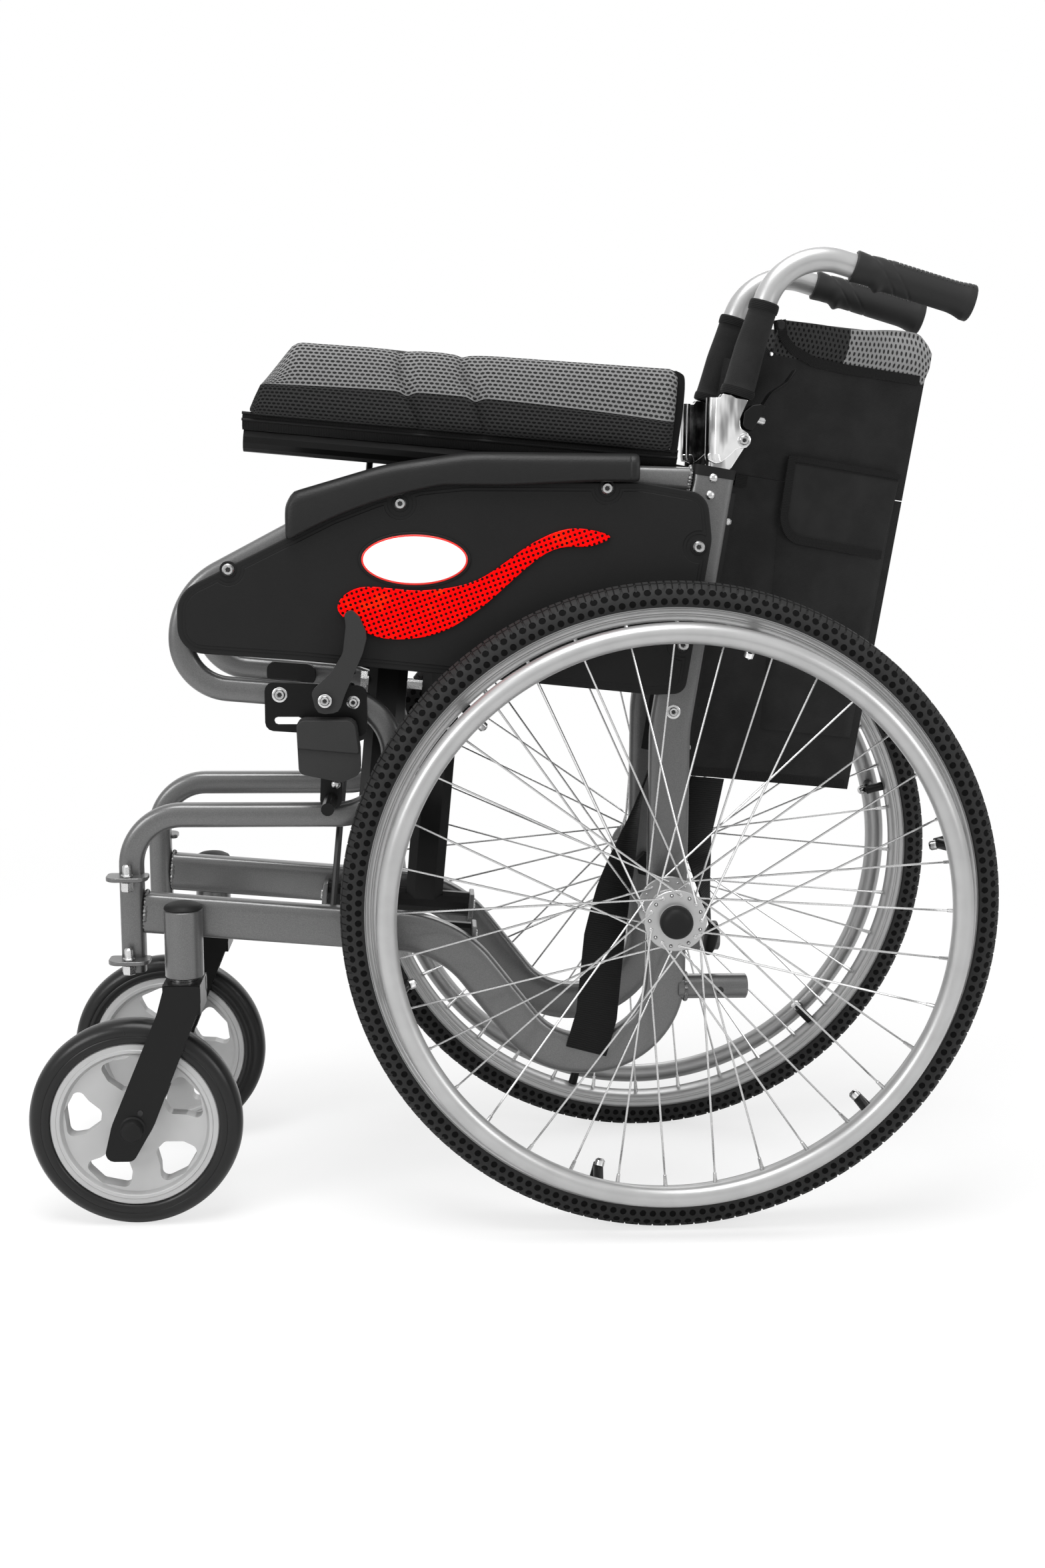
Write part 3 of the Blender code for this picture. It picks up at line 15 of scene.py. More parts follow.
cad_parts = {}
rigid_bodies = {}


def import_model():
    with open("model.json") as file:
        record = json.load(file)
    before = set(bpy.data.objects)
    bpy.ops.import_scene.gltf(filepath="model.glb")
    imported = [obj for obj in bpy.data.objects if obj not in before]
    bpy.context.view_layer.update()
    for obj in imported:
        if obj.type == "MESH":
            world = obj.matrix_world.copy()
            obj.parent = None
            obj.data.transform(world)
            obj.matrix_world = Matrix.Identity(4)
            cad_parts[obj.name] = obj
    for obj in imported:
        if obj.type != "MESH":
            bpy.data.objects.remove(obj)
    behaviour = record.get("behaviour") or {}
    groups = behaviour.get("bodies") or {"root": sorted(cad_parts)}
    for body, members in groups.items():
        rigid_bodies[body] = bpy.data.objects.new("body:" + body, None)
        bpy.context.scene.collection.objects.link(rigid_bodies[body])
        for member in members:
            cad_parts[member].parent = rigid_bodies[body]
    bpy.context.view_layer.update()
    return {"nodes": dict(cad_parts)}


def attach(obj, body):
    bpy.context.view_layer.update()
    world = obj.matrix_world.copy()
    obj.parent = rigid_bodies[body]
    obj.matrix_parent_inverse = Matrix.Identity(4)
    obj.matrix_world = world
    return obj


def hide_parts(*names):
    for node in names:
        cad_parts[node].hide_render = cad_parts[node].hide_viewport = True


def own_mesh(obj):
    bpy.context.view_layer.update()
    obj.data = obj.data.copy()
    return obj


for old in list(bpy.data.objects):
    bpy.data.objects.remove(old, do_unlink=True)
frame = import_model()

# %% [markdown]
# ## Shader sums
# A finish is a network of nodes, and most of it is arithmetic. Wrapping a socket in a small class lets a mask
# be written as an ordinary expression, and every operator adds one Math node. All other nodes come from one
# method.


# %% Sockets that can be added and multiplied


def operator(kind, swapped=False):
    """A method that adds one Math node; swapped takes the other value first."""

    def method(self, other):
        return self.math(kind, *((other, self) if swapped else (self, other)))

    return method


class Wire:
    """An output socket that can stand in a sum."""

    __add__, __radd__ = operator("ADD"), operator("ADD", True)
    __sub__, __rsub__ = operator("SUBTRACT"), operator("SUBTRACT", True)
    __mul__, __rmul__ = operator("MULTIPLY"), operator("MULTIPLY", True)
    __truediv__, most = operator("DIVIDE"), operator("MAXIMUM")

    def __init__(self, finish, socket):
        self.finish = finish
        self.socket = socket

    def math(self, operation, *values):
        return self.finish.node("ShaderNodeMath", {"operation": operation}, dict(enumerate(values)))

    def within(self):
        """Distance from the middle of the unit cell that the value falls in."""
        return self.math("ABSOLUTE", self.math("FRACT", self) - 0.5)

    def reach(self, other):
        """How far away a place is when these are its two distances."""
        return self.math("SQRT", self * self + other * other)

    def step(self, low, high):
        """0 below low, 1 above high, smooth between."""
        settings = {"interpolation_type": "SMOOTHSTEP"}
        values = {"Value": self, "From Min": low, "From Max": high}
        return self.finish.node("ShaderNodeMapRange", settings, values)


print("socket sums ready")

# %% A finish


class Finish:
    """A material whose main shader is Blender's Principled one."""

    def __init__(self, name, colour, roughness, metallic=0.0, **fixed):
        self.material = bpy.data.materials.new(name)
        self.material.use_nodes = True
        self.tree = self.material.node_tree
        self.shader = self.tree.nodes["Principled BSDF"]
        self.colour = (*colour, 1.0)
        self.set("Base Color", self.colour)
        self.set("Roughness", roughness)
        self.set("Metallic", metallic)
        for key, value in fixed.items():
            self.set(key.replace("_", " ").title().replace("Ior", "IOR"), value)

    def set(self, socket, value):
        if isinstance(value, Wire):
            self.tree.links.new(value.socket, self.shader.inputs[socket])
        else:
            self.shader.inputs[socket].default_value = value

    def node(self, kind, settings=None, values=None, output=0):
        made = self.tree.nodes.new(kind)
        for key, value in (settings or {}).items():
            setattr(made, key, value)
        for key, value in (values or {}).items():
            if isinstance(value, Wire):
                self.tree.links.new(value.socket, made.inputs[key])
            else:
                made.inputs[key].default_value = value
        return Wire(self, made.outputs[output])

    def place(self):
        """Where the surface is, in metres."""
        return self.node("ShaderNodeTexCoord", output="Object")

    def coordinate(self, number):
        """One coordinate of that place: 0 runs along the chair and 2 is the height."""
        return self.node("ShaderNodeSeparateXYZ", {}, {0: self.place()}, number)

    def flat(self, number):
        """Distance round a piece (0) or along it (1), in metres, from its own flat map."""
        spread = self.node("ShaderNodeUVMap", {"uv_map": "flat"})
        return self.node("ShaderNodeSeparateXYZ", {}, {0: spread}, number)

    def noise(self, size, detail=2.0, stretch=None):
        """Soft noise with blotches of about that size in metres."""
        where = self.place()
        if stretch:
            where = self.node("ShaderNodeVectorMath", {"operation": "MULTIPLY"}, {0: where, 1: stretch})
        return self.node("ShaderNodeTexNoise", {}, {"Vector": where, "Scale": 1.0 / size, "Detail": detail})

    def mix(self, mask, first, second):
        """first where the mask is 0 and second where it is 1."""
        values = {0: mask, 6: first, 7: second}
        return self.node("ShaderNodeMix", {"data_type": "RGBA"}, values, 2)

    def shade(self, mask, low, high):
        """The base colour times low where the mask is 0 and times high where it is 1."""
        dark = tuple(channel * low for channel in self.colour[:3]) + (1.0,)
        light = tuple(min(1.0, channel * high) for channel in self.colour[:3]) + (1.0,)
        self.set("Base Color", self.mix(mask, dark, light))

    def bump(self, height, distance):
        """Raises the surface by distance, in metres, where height is 1."""
        self.set("Normal", self.node("ShaderNodeBump", {}, {"Height": height, "Distance": distance}))


print("finish class ready")

# %% Colours and soft noise


def grey(value):
    """A neutral colour from a screen value of 0 to 255."""
    share = value / 255
    linear = share / 12.92 if share <= 0.04045 else ((share + 0.055) / 1.055) ** 2.4
    return (linear, linear, linear)


def varied(name, colour, roughness, metallic=0.0, tone=None, rough=None, grain=None, **fixed):
    """A finish with soft noise in its colour, its roughness and its height.

    All three start with the size and the detail of their noise. tone goes on with the factors of the colour
    where the noise is 0 and 1, rough with a spread and a least roughness, and grain with the bumps' height.
    """
    made = Finish(name, colour, roughness, metallic, **fixed)
    if tone:
        made.shade(made.noise(*tone[:2]), *tone[2:])
    if rough:
        made.set("Roughness", made.noise(*rough[:2]) * rough[2] + rough[3])
    if grain:
        made.bump(made.noise(*grain[:2]), grain[2])
    return made


print("middle grey", round(grey(128)[0], 3))

# %% [markdown]
# ## Metal finishes
# The side frames are aluminium tube under a satin metallic lacquer: mid grey with fine flakes. Rims, handrims
# and canes are anodised, so they are lighter and have only a faint grain. The cane joints are chromed, and
# the folding cross is lacquered black.

# %% Metals
frame_paint = varied("frame_paint", grey(92), 0.36, 0.6, rough=(0.035, 2.0, 0.14, 0.29),
                     grain=(0.004, 2.0, 0.00008), coat_weight=0.35, coat_roughness=0.16)
frame_paint.shade(frame_paint.noise(0.0007, 1.0).step(0.35, 0.7), 0.9, 1.14)
alloy = varied("bright_alloy", grey(165), 0.34, 0.6, rough=(0.0012, 2.0, 0.14, 0.27),
               grain=(0.0009, 2.0, 0.00003))
alloy.shade(alloy.noise(0.03, 3.0).step(0.3, 0.7), 0.95, 1.04)
chrome = Finish("chrome", grey(214), 0.12, 1.0)
# Painted reflection: long dark and light streaks in the chrome's colour stand in for a dark room reflected in
# it.
chrome.shade(chrome.noise(0.011, 2.0, (1.0, 1.0, 0.22)).step(0.40, 0.60), 0.36, 1.15)
chrome.set("Roughness", chrome.noise(0.012, 4.0).step(0.35, 0.75) * 0.16 + 0.08)
black_metal = varied("black_metal", grey(9), 0.34, rough=(0.02, 2.0, 0.16, 0.26),
                     grain=(0.0025, 2.0, 0.00006), specular_ior_level=0.14, coat_weight=0.1,
                     coat_roughness=0.2)
steel = varied("steel_bolt", grey(190), 0.28, 1.0, (0.002, 3.0, 0.8, 1.1), (0.0015, 3.0, 0.2, 0.18))
# Painted shade: a near-black finish put in screw sockets, holes and slots, where the inside is dark from
# shade.
painted_recess_shade = varied("socket_recess", grey(10), 0.6, tone=(0.002, 2.0, 0.7, 1.3))
print("metal finishes made")

# %% [markdown]
# ## Rubber and plastic
# The tyre has two staggered rows of round dimples on each wall and slits across its shoulder. A place's angle
# round the axle says how far round it is, and its flat map how far it is from the crown. The dimples are
# spaced by a sum of both: how far the place is from the middle of its cell. The same sum darkens the hollows,
# where light doesn't reach.

# %% Rubber and plastic
WALL_RADIUS = 0.2875
PITCHES = 192
BLOCKS = PITCHES * 3 // 4
PITCH = 2 * math.pi * WALL_RADIUS / PITCHES
TUBE = 0.0175
BEAD = 0.0039
HALF_SECTION = BEAD + TUBE * math.radians(105.0)
AXLE_X, AXLE_HEIGHT = 0.1475, 0.305
RING_LINE = 0.0072

tyre_rubber = Finish("tyre_rubber", grey(38), 0.6, specular_ior_level=0.08)
from_axle, from_floor = tyre_rubber.coordinate(0), tyre_rubber.coordinate(2)
turn = from_axle.math("ARCTAN2", from_floor - AXLE_HEIGHT, from_axle - AXLE_X) / (2 * math.pi)
round_way = turn * PITCHES
block_way = turn * BLOCKS
from_crown = tyre_rubber.flat(0).math("ABSOLUTE", tyre_rubber.flat(0) - HALF_SECTION)


def dimple_row(shift, from_top, radius):
    """1 inside each dimple of one row on the wall, 0 outside."""
    across = (0.5 - (round_way + shift).within()) * PITCH
    return 1 - across.reach(from_crown - from_top).step(radius * 0.78, radius)


dimples = dimple_row(0.0, 0.0180, 0.0033).most(dimple_row(0.5, 0.0270, 0.0032))
slit = (block_way + 0.5).within().step(0.452, 0.478) * (1 - from_crown.step(0.0140, 0.0155))
ring_line = from_crown.math("ABSOLUTE", from_crown - RING_LINE + (block_way.within() - 0.25) * 0.002)
grooves = (1 - ring_line.step(0.0004, 0.0008)).most(slit)
hollow = dimples.most(grooves * 0.8)
tyre_rubber.shade(hollow, 1.15, 0.08)
tyre_rubber.set("Roughness", hollow * 0.2 + 0.56)
tyre_rubber.bump(1 - hollow, 0.0030)

caster_rubber = varied("caster_rubber", grey(22), 0.3, rough=(0.02, 2.0, 0.18, 0.22),
                       grain=(0.006, 2.0, 0.0001), specular_ior_level=0.2, coat_weight=0.1,
                       coat_roughness=0.25)
matt_plastic = varied("matt_plastic", grey(46), 0.6, rough=(0.02, 2.0, 0.14, 0.52),
                      grain=(0.0008, 3.0, 0.00006), specular_ior_level=0.12)
black_plastic = varied("black_plastic", grey(25), 0.5, tone=(0.05, 3.0, 0.86, 1.12),
                       rough=(0.018, 2.0, 0.14, 0.42), grain=(0.0006, 3.0, 0.00007), specular_ior_level=0.12)
grey_plastic = varied("grey_plastic", grey(168), 0.38, 0.35, (0.02, 4.0, 0.93, 1.05),
                      (0.005, 2.0, 0.14, 0.36), (0.0008, 3.0, 0.00005))
soft_grip = varied("soft_grip", grey(33), 0.5, rough=(0.008, 2.0, 0.18, 0.45), grain=(0.0007, 2.0, 0.00008),
                   specular_ior_level=0.18)
vinyl = varied("armrest_vinyl", grey(25), 0.42, rough=(0.012, 2.0, 0.14, 0.36), specular_ior_level=0.2)
creases = vinyl.node("ShaderNodeTexVoronoi", {"feature": "SMOOTH_F1"},
                     {"Vector": vinyl.place(), "Scale": 650.0})
vinyl.bump(creases, 0.00012)
print("rubber and plastic made")

# %% [markdown]
# ## The reflector
# A prismatic reflector is red clear plastic over rows of tiny corners. The light it sends back is painted as
# an emitted red glow with painted orange glints, and the tips of the corners show as staggered rows of round
# dark dots.

# %% Reflector and badge
DOT_PITCH = 0.0046
RED, BLACK, WHITE = (1.0, 0.0, 0.0, 1.0), (0.0, 0.0, 0.0, 1.0), (1.0, 1.0, 1.0, 1.0)
# Painted light: the reflector glows red by emission, standing in for the light it sends back.
reflector_red = Finish("red_reflector", (0.95, 0.0, 0.0), 0.22, specular_ior_level=0.06, coat_weight=0.05,
                       coat_roughness=0.05, emission_color=RED, emission_strength=0.22)
across, height = reflector_red.coordinate(0), reflector_red.coordinate(2)
slant_a = ((across * 0.94 + height * 0.34) / DOT_PITCH).within()
slant_b = ((height * 0.94 - across * 0.34) / DOT_PITCH).within()
dot = 1 - slant_a.reach(slant_b).step(0.24, 0.34)
# Painted glints: orange patches in the emitted glow.
painted_glints = reflector_red.noise(0.02, 2.0).step(0.55, 0.75)
reflector_red.set("Base Color", reflector_red.mix(dot, reflector_red.colour, (0.02, 0.0, 0.0, 1.0)))
painted_glow = reflector_red.mix(painted_glints, RED, (1.0, 0.10, 0.0, 1.0))
reflector_red.set("Emission Color", reflector_red.mix(dot, painted_glow, BLACK))
reflector_red.bump(1 - dot, 0.0004)

badge_white = varied("badge_face", (0.86, 0.86, 0.86), 0.22, tone=(0.01, 2.0, 0.97, 1.02), coat_weight=0.4,
                     coat_roughness=0.08)
badge_red = varied("badge_rim", (0.72, 0.016, 0.008), 0.25, tone=(0.01, 2.0, 0.95, 1.04), coat_weight=0.4,
                   coat_roughness=0.08)
print("reflector made")

# %% [markdown]
# ## Cloth
# The back is black nylon with a fine plain weave. The seat and the top of the back are spacer mesh: a knitted
# honeycomb of small staggered holes, with painted shade in the holes. Tapes and straps are ribbed webbing,
# with painted light on the ribs and painted shade between them. All of these patterns follow the flat map of
# each piece, so they bend with the cloth.

# %% Cloth finishes
HOLE_PITCH = 0.0050


def weave(finish, pitch):
    """Height of a plain weave whose threads are pitch apart."""
    warp = (finish.flat(0) / pitch).within() * 2.0
    weft = (finish.flat(1) / pitch).within() * 2.0
    return warp * weft


def fabric(name, value, roughness, sheen=0.06, sheen_roughness=0.5):
    """A cloth finish with dull threads."""
    return Finish(name, grey(value), roughness, specular_ior_level=0.08, sheen_weight=sheen,
                  sheen_roughness=sheen_roughness)


def spacer_mesh(name, value, high_pitch, long_axis, narrow, low):
    """Knitted mesh with staggered oval holes, narrower and lower as those two numbers grow, with painted
    shade in the holes.
    """
    made = fabric(name, value, 0.82)
    long_way = made.flat(long_axis) / HOLE_PITCH
    high_way = made.flat(1 - long_axis) / high_pitch

    def holes(shift):
        along = (long_way + shift).within() * narrow
        return 1 - along.reach((high_way + shift).within() * low).step(0.26, 0.42)

    hole = holes(0.0).most(holes(0.5))
    # Painted shade: the colour drops to a tenth inside the holes.
    made.shade(hole, 1.0, 0.1)
    made.bump(1 - hole, 0.0007)
    return made


def ribbed(name, value, roughness, pitch, top, groove, depth):
    """A band with ribs across it; top and groove are factors of its colour: painted light on the ribs and
    painted shade in the grooves.
    """
    made = fabric(name, value, roughness, 0.08, 0.4)
    ribs = (made.flat(1) / pitch).within() * 2.0
    # Painted light and shade: the ribs are lighter on top and darker in the grooves between them.
    made.shade(ribs, top, groove)
    made.bump(1 - ribs, depth)
    return made


nylon = fabric("cloth", 33, 0.86)
nylon.shade(nylon.noise(0.03, 4.0).step(0.3, 0.7), 0.84, 1.16)
nylon.bump(weave(nylon, 0.0009) + nylon.noise(0.006) * 0.9, 0.00022)
grey_mesh = spacer_mesh("mesh_cushion", 118, 0.0066, 1, 0.9, 2.3)
black_mesh = spacer_mesh("mesh_cushion_dark", 44, 0.0066, 1, 0.9, 2.3)
back_grey = spacer_mesh("mesh_back", 130, 0.0100, 0, 1.5, 1.9)
back_black = spacer_mesh("mesh_back_dark", 48, 0.0100, 0, 1.5, 1.9)
webbing = ribbed("webbing", 26, 0.8, 0.0021, 1.25, 0.7, 0.0005)
tape = ribbed("edge_tape", 25, 0.85, 0.0015, 1.3, 0.75, 0.0003)
print("cloth finishes made")

# %% [markdown]
# ## Making meshes
# Most parts of a wheelchair are bars, tubes and bands, so one helper makes a skin through a row of rings and
# gives it a flat map in metres. A turned part is rings round an axle, and a tube is rings along a path. Flat
# parts are cut from an outline and get a small bevel. The left side is made first, and its mirror image is
# the right side.

# %% Angles and soft boxes
SHIFT = Vector((AXLE_X, 0.0, 0.0))
RIGHT = Matrix.Diagonal((1.0, -1.0, 1.0, 1.0))
FRAME_Y = -0.0878


def clamp(value):
    """The value, held between 0 and 1."""
    return min(1.0, max(0.0, value))


def turns(count):
    """Equal angles round a circle."""
    return [2 * math.pi * number / count for number in range(count)]


def bend(y, z, wide, high, angles):
    """Points round (y, z) at those angles in degrees."""
    return [(y + wide * math.cos(turn), z + high * math.sin(turn)) for turn in map(math.radians, angles)]


def boxy(share, power):
    """A sine or cosine pushed outwards, which makes a soft box of a circle."""
    return math.copysign(abs(share) ** (2 / power), share)


print("soft box at half", round(boxy(0.5, 3.2), 3))

# %% Skins and turned parts


def thing(name, mesh, finishes, sharp=38.0):
    """A mesh as an object, smooth except along its sharp edges. Measured from the rear axle."""
    bmesh.ops.recalc_face_normals(mesh, faces=mesh.faces)
    data = bpy.data.meshes.new(name)
    mesh.to_mesh(data)
    mesh.free()
    data.transform(Matrix.Translation(SHIFT))
    for finish in finishes if isinstance(finishes, (list, tuple)) else [finishes]:
        data.materials.append(finish.material)
    data.shade_smooth()
    data.set_sharp_from_angle(angle=math.radians(sharp))
    made = bpy.data.objects.new(name, data)
    bpy.context.scene.collection.objects.link(made)
    return made


def skin(name, rings, finishes, along=False, around=True, caps=True, pick=None, sharp=38.0):
    """A skin through rings of points; along joins the last ring to the first, around closes each ring."""
    mesh = bmesh.new()
    flat = mesh.loops.layers.uv.new("flat")
    loops = [[mesh.verts.new(point) for point in ring] for ring in rings]
    size = len(loops[0])
    widths = [0.0]
    middle = rings[len(rings) // 2]
    for number in range(size):
        step = Vector(middle[(number + 1) % size]) - Vector(middle[number])
        widths.append(widths[-1] + step.length)
    lengths = [0.0]
    middles = [sum((Vector(point) for point in ring), Vector()) / size for ring in rings]
    for number, here in enumerate(middles):
        lengths.append(lengths[-1] + (middles[(number + 1) % len(rings)] - here).length)
    for row in range(len(rings) if along else len(rings) - 1):
        for place in range(size if around else size - 1):
            after, beyond = (place + 1) % size, (row + 1) % len(rings)
            corners = (loops[row][place], loops[row][after], loops[beyond][after], loops[beyond][place])
            if len({tuple(round(value, 7) for value in corner.co) for corner in corners}) < 3:
                continue
            face = mesh.faces.new(corners)
            if pick:
                face.material_index = pick(row, place)
            marks = ((place, row), (place + 1, row), (place + 1, row + 1), (place, row + 1))
            for loop, (wide, long) in zip(face.loops, marks):
                loop[flat].uv = (widths[wide], lengths[long])
    if caps and around and not along:
        mesh.faces.new(loops[0])
        mesh.faces.new(loops[-1][::-1])
    bmesh.ops.remove_doubles(mesh, verts=mesh.verts, dist=0.000002)
    return thing(name, mesh, finishes, sharp)


def lathe(name, profile, centre, finishes, count, axis="y", open_profile=False, sharp=38.0):
    """A profile of (radius, place along the axis) turned round an axis through centre."""
    rings = []
    for angle in turns(count):
        ring = []
        for radius, place in profile:
            turn = (radius * math.cos(angle), place, radius * math.sin(angle))
            if axis == "z":
                turn = (turn[0], turn[2], turn[1])
            ring.append(Vector(centre) + Vector(turn))
        rings.append(ring)
    return skin(name, rings, finishes, along=True, around=not open_profile, sharp=sharp)


def both_ways(half):
    """A profile made whole by its mirror image; points in the middle plane aren't doubled."""
    return half + [(radius, -place) for radius, place in half[::-1] if place]


print("skins and turned parts ready")

# %% Lines with rounded corners


def arc(before, corner, after, radius, count):
    """Points that round one corner of a path."""
    before, corner, after = Vector(before), Vector(corner), Vector(after)
    inward, outward = (before - corner).normalized(), (after - corner).normalized()
    turn = math.pi - inward.angle(outward)
    if radius <= 0.0 or turn < 0.01:
        return [corner]
    start = corner + inward * (radius * math.tan(turn / 2))
    centre = corner + (inward + outward).normalized() * (radius / math.cos(turn / 2))
    first, second = start - centre, -inward * radius
    steps = [turn * number / count for number in range(count + 1)]
    return [centre + first * math.cos(angle) + second * math.sin(angle) for angle in steps]


def path(points, radii, count):
    """An open path with rounded corners."""
    made = [Vector(points[0])]
    for number in range(1, len(points) - 1):
        made += arc(points[number - 1], points[number], points[number + 1], radii[number - 1], count)
    return made + [Vector(points[-1])]


def outline(points, radii, count=8):
    """A closed outline with rounded corners; radii is one value or one for each corner."""
    made = []
    for number, point in enumerate(points):
        radius = radii[number] if isinstance(radii, (list, tuple)) else radii
        made += arc(points[number - 1], point, points[(number + 1) % len(points)], radius, count)
    return made


def soft_box(wide, deep, power=3.2, count=28):
    """A section between an ellipse and a box: wide in the plane of the path, deep across it."""
    return [(wide / 2 * boxy(math.cos(turn), power), deep / 2 * boxy(math.sin(turn), power))
            for turn in turns(count)]


print("points on a corner", len(arc((0.0, 1.0), (0.0, 0.0), (1.0, 0.0), 0.1, 8)))

# %% Tubes, rods, bands and plates


def sweep(name, line, section, finishes):
    """A section swept along a line in the plane of the side frame."""
    rings = []
    line = [Vector(point) for point in line]
    for number, point in enumerate(line):
        before, after = line[max(0, number - 1)], line[min(len(line) - 1, number + 1)]
        way = (after - before).normalized()
        aside = Vector((-way.y, way.x))
        rings.append([Vector((point.x + aside.x * a, FRAME_Y + b, point.y + aside.y * a))
                      for a, b in section])
    return skin(name, rings, finishes, sharp=50.0)


def rod(name, start, end, radius, finishes, count=20, end_radius=None, rounding=0.0006):
    """A round bar between two points with slightly rounded ends."""
    start, end = Vector(start), Vector(end)
    way = (end - start).normalized()
    side = way.orthogonal().normalized()
    other = way.cross(side)
    last = radius if end_radius is None else end_radius
    stops = [(start, radius - rounding), (start + way * rounding, radius), (end - way * rounding, last),
             (end, last - rounding)]
    rings = [[middle + (side * math.cos(turn) + other * math.sin(turn)) * size for turn in turns(count)]
             for middle, size in stops]
    return skin(name, rings, finishes)


def band_ring(middle, across, out):
    """The six corners of a flat band that is thinner at its edges."""
    inner = across * 0.97
    return [middle - inner - out, middle - across, middle - inner + out, middle + inner + out,
            middle + across, middle + inner - out]


def plate(name, line, near, far, finishes, edge=0.0008, steps=2):
    """A flat part cut from an outline in the side plane, between two places across it, with a bevel."""
    mesh = bmesh.new()
    flat = mesh.loops.layers.uv.new("flat")
    loops = [[mesh.verts.new((point[0], y, point[1])) for point in line] for y in (near, far)]
    mesh.faces.new(loops[0])
    mesh.faces.new(loops[1][::-1])
    for number in range(len(line)):
        after = (number + 1) % len(line)
        mesh.faces.new((loops[0][number], loops[0][after], loops[1][after], loops[1][number]))
    for face in mesh.faces:
        for loop in face.loops:
            loop[flat].uv = (loop.vert.co.x, loop.vert.co.z)
    return eased(thing(name, mesh, finishes, 30.0), edge, steps)


def eased(made, edge, steps=2):
    """Rounds the sharp edges of a piece and keeps its flat faces flat to the light."""
    bevel = made.modifiers.new("bevel", "BEVEL")
    bevel.width = edge
    bevel.segments = steps
    bevel.limit_method = "ANGLE"
    bevel.angle_limit = math.radians(38.0)
    bevel.use_clamp_overlap = True
    made.modifiers.new("even", "WEIGHTED_NORMAL").keep_sharp = True
    return made


print("tubes, rods and plates ready")

# %% Moving, cutting and joining


def moved(made, matrix):
    """Moves a piece by a matrix that is measured from the rear axle."""
    for move in (Matrix.Translation(-SHIFT), matrix, Matrix.Translation(SHIFT)):
        made.data.transform(move)
    return made


def cut(made, *cutters):
    """Takes cutters out of a piece and removes them."""
    for cutter in cutters:
        for change in list(cutter.modifiers):
            cutter.modifiers.remove(change)
        change = made.modifiers.new("cut", "BOOLEAN")
        change.operation = "DIFFERENCE"
        change.solver = "EXACT"
        change.object = cutter
        made.modifiers.move(len(made.modifiers) - 1, 0)
        with bpy.context.temp_override(object=made, active_object=made):
            bpy.ops.object.modifier_apply(modifier="cut")
        bpy.data.objects.remove(cutter)
    made.data.set_sharp_from_angle(angle=math.radians(30.0))
    return made


def joined(name, *things):
    """Several meshes as one piece; each keeps its own finish."""
    graph = bpy.context.evaluated_depsgraph_get()
    mesh = bmesh.new()
    finishes = []
    for part in things:
        seen = bpy.data.meshes.new_from_object(part.evaluated_get(graph))
        first = len(mesh.faces)
        slots = [slot.material for slot in part.material_slots]
        mesh.from_mesh(seen)
        mesh.faces.ensure_lookup_table()
        for face in mesh.faces[first:]:
            material = slots[face.material_index]
            if material not in finishes:
                finishes.append(material)
            face.material_index = finishes.index(material)
        bpy.data.meshes.remove(seen)
        bpy.data.objects.remove(part)
    data = bpy.data.meshes.new(name)
    mesh.to_mesh(data)
    mesh.free()
    for material in finishes:
        data.materials.append(material)
    made = bpy.data.objects.new(name, data)
    bpy.context.scene.collection.objects.link(made)
    return made


print("cutting and joining ready")

# %% Pieces on the bodies


def body_of(side, body):
    """The CAD body that a piece of one side rides on."""
    named = {"frame": "frame_" + side, "cross": {"left": "cross_b", "right": "cross_a"}[side]}
    return named.get(body, side + "_" + body)


def both(made, body, *nodes, slot=None):
    """Rides a left piece on its body, and a mirrored copy on the right one."""
    name = made.name
    right = made.copy()
    right.data = made.data.copy()
    right.data.transform(RIGHT)
    right.data.flip_normals()
    bpy.context.scene.collection.objects.link(right)
    for side, piece in (("left", made), ("right", right)):
        piece.name = side + "_" + name
        piece.data.name = piece.name
        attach(piece, body_of(side, body))
        if nodes:
            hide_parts(*[side + "_" + node for node in nodes])
    return made, right


def dress(name, finish, edge):
    """Gives a CAD node a finish and rounds its edges."""
    found = frame["nodes"][name]
    found.data.materials.clear()
    found.data.materials.append(finish.material)
    eased(found, edge)


def keep(nodes, finish, edge):
    """Dresses the CAD nodes of both sides."""
    for side in ("left", "right"):
        for node in nodes:
            dress(side + "_" + node, finish, edge)


print("helpers ready")

# %% [markdown]
# ## The studio
# The photograph was taken from the chair's left side, a little above and ahead of the middle. The camera's
# place, direction and lens were worked out from both rear wheels. A long, dim room of soft light keeps every
# colour at its own level, and a wide lamp overhead draws the thin bright lines along the tops of the tubes.

# %% Camera
SENSOR = 36.0
PHOTO_HEIGHT = 2352.0
FOCAL_LENGTH = 2725.5
CAMERA_PLACE = (-0.0640, -1.7591, 0.7119)
yaw, tilt, lean = (math.radians(angle) for angle in (2.581, 9.989, 0.301))
ahead = Vector((math.sin(yaw) * math.cos(tilt), math.cos(yaw) * math.cos(tilt), -math.sin(tilt)))
level = Vector((math.cos(yaw), -math.sin(yaw), 0.0))
upward = level.cross(ahead)
image_right = level * math.cos(lean) + upward * math.sin(lean)
image_up = upward * math.cos(lean) - level * math.sin(lean)
camera = bpy.data.objects.new("camera", bpy.data.cameras.new("camera"))
camera.data.sensor_width = SENSOR
camera.data.lens = FOCAL_LENGTH * SENSOR / PHOTO_HEIGHT
turned = Matrix((image_right, image_up, -ahead)).transposed().to_4x4()
camera.matrix_world = Matrix.Translation(CAMERA_PLACE) @ turned
bpy.context.scene.collection.objects.link(camera)
bpy.context.scene.camera = camera
print("lens", round(camera.data.lens, 2), "mm")

# %% Lamps and world


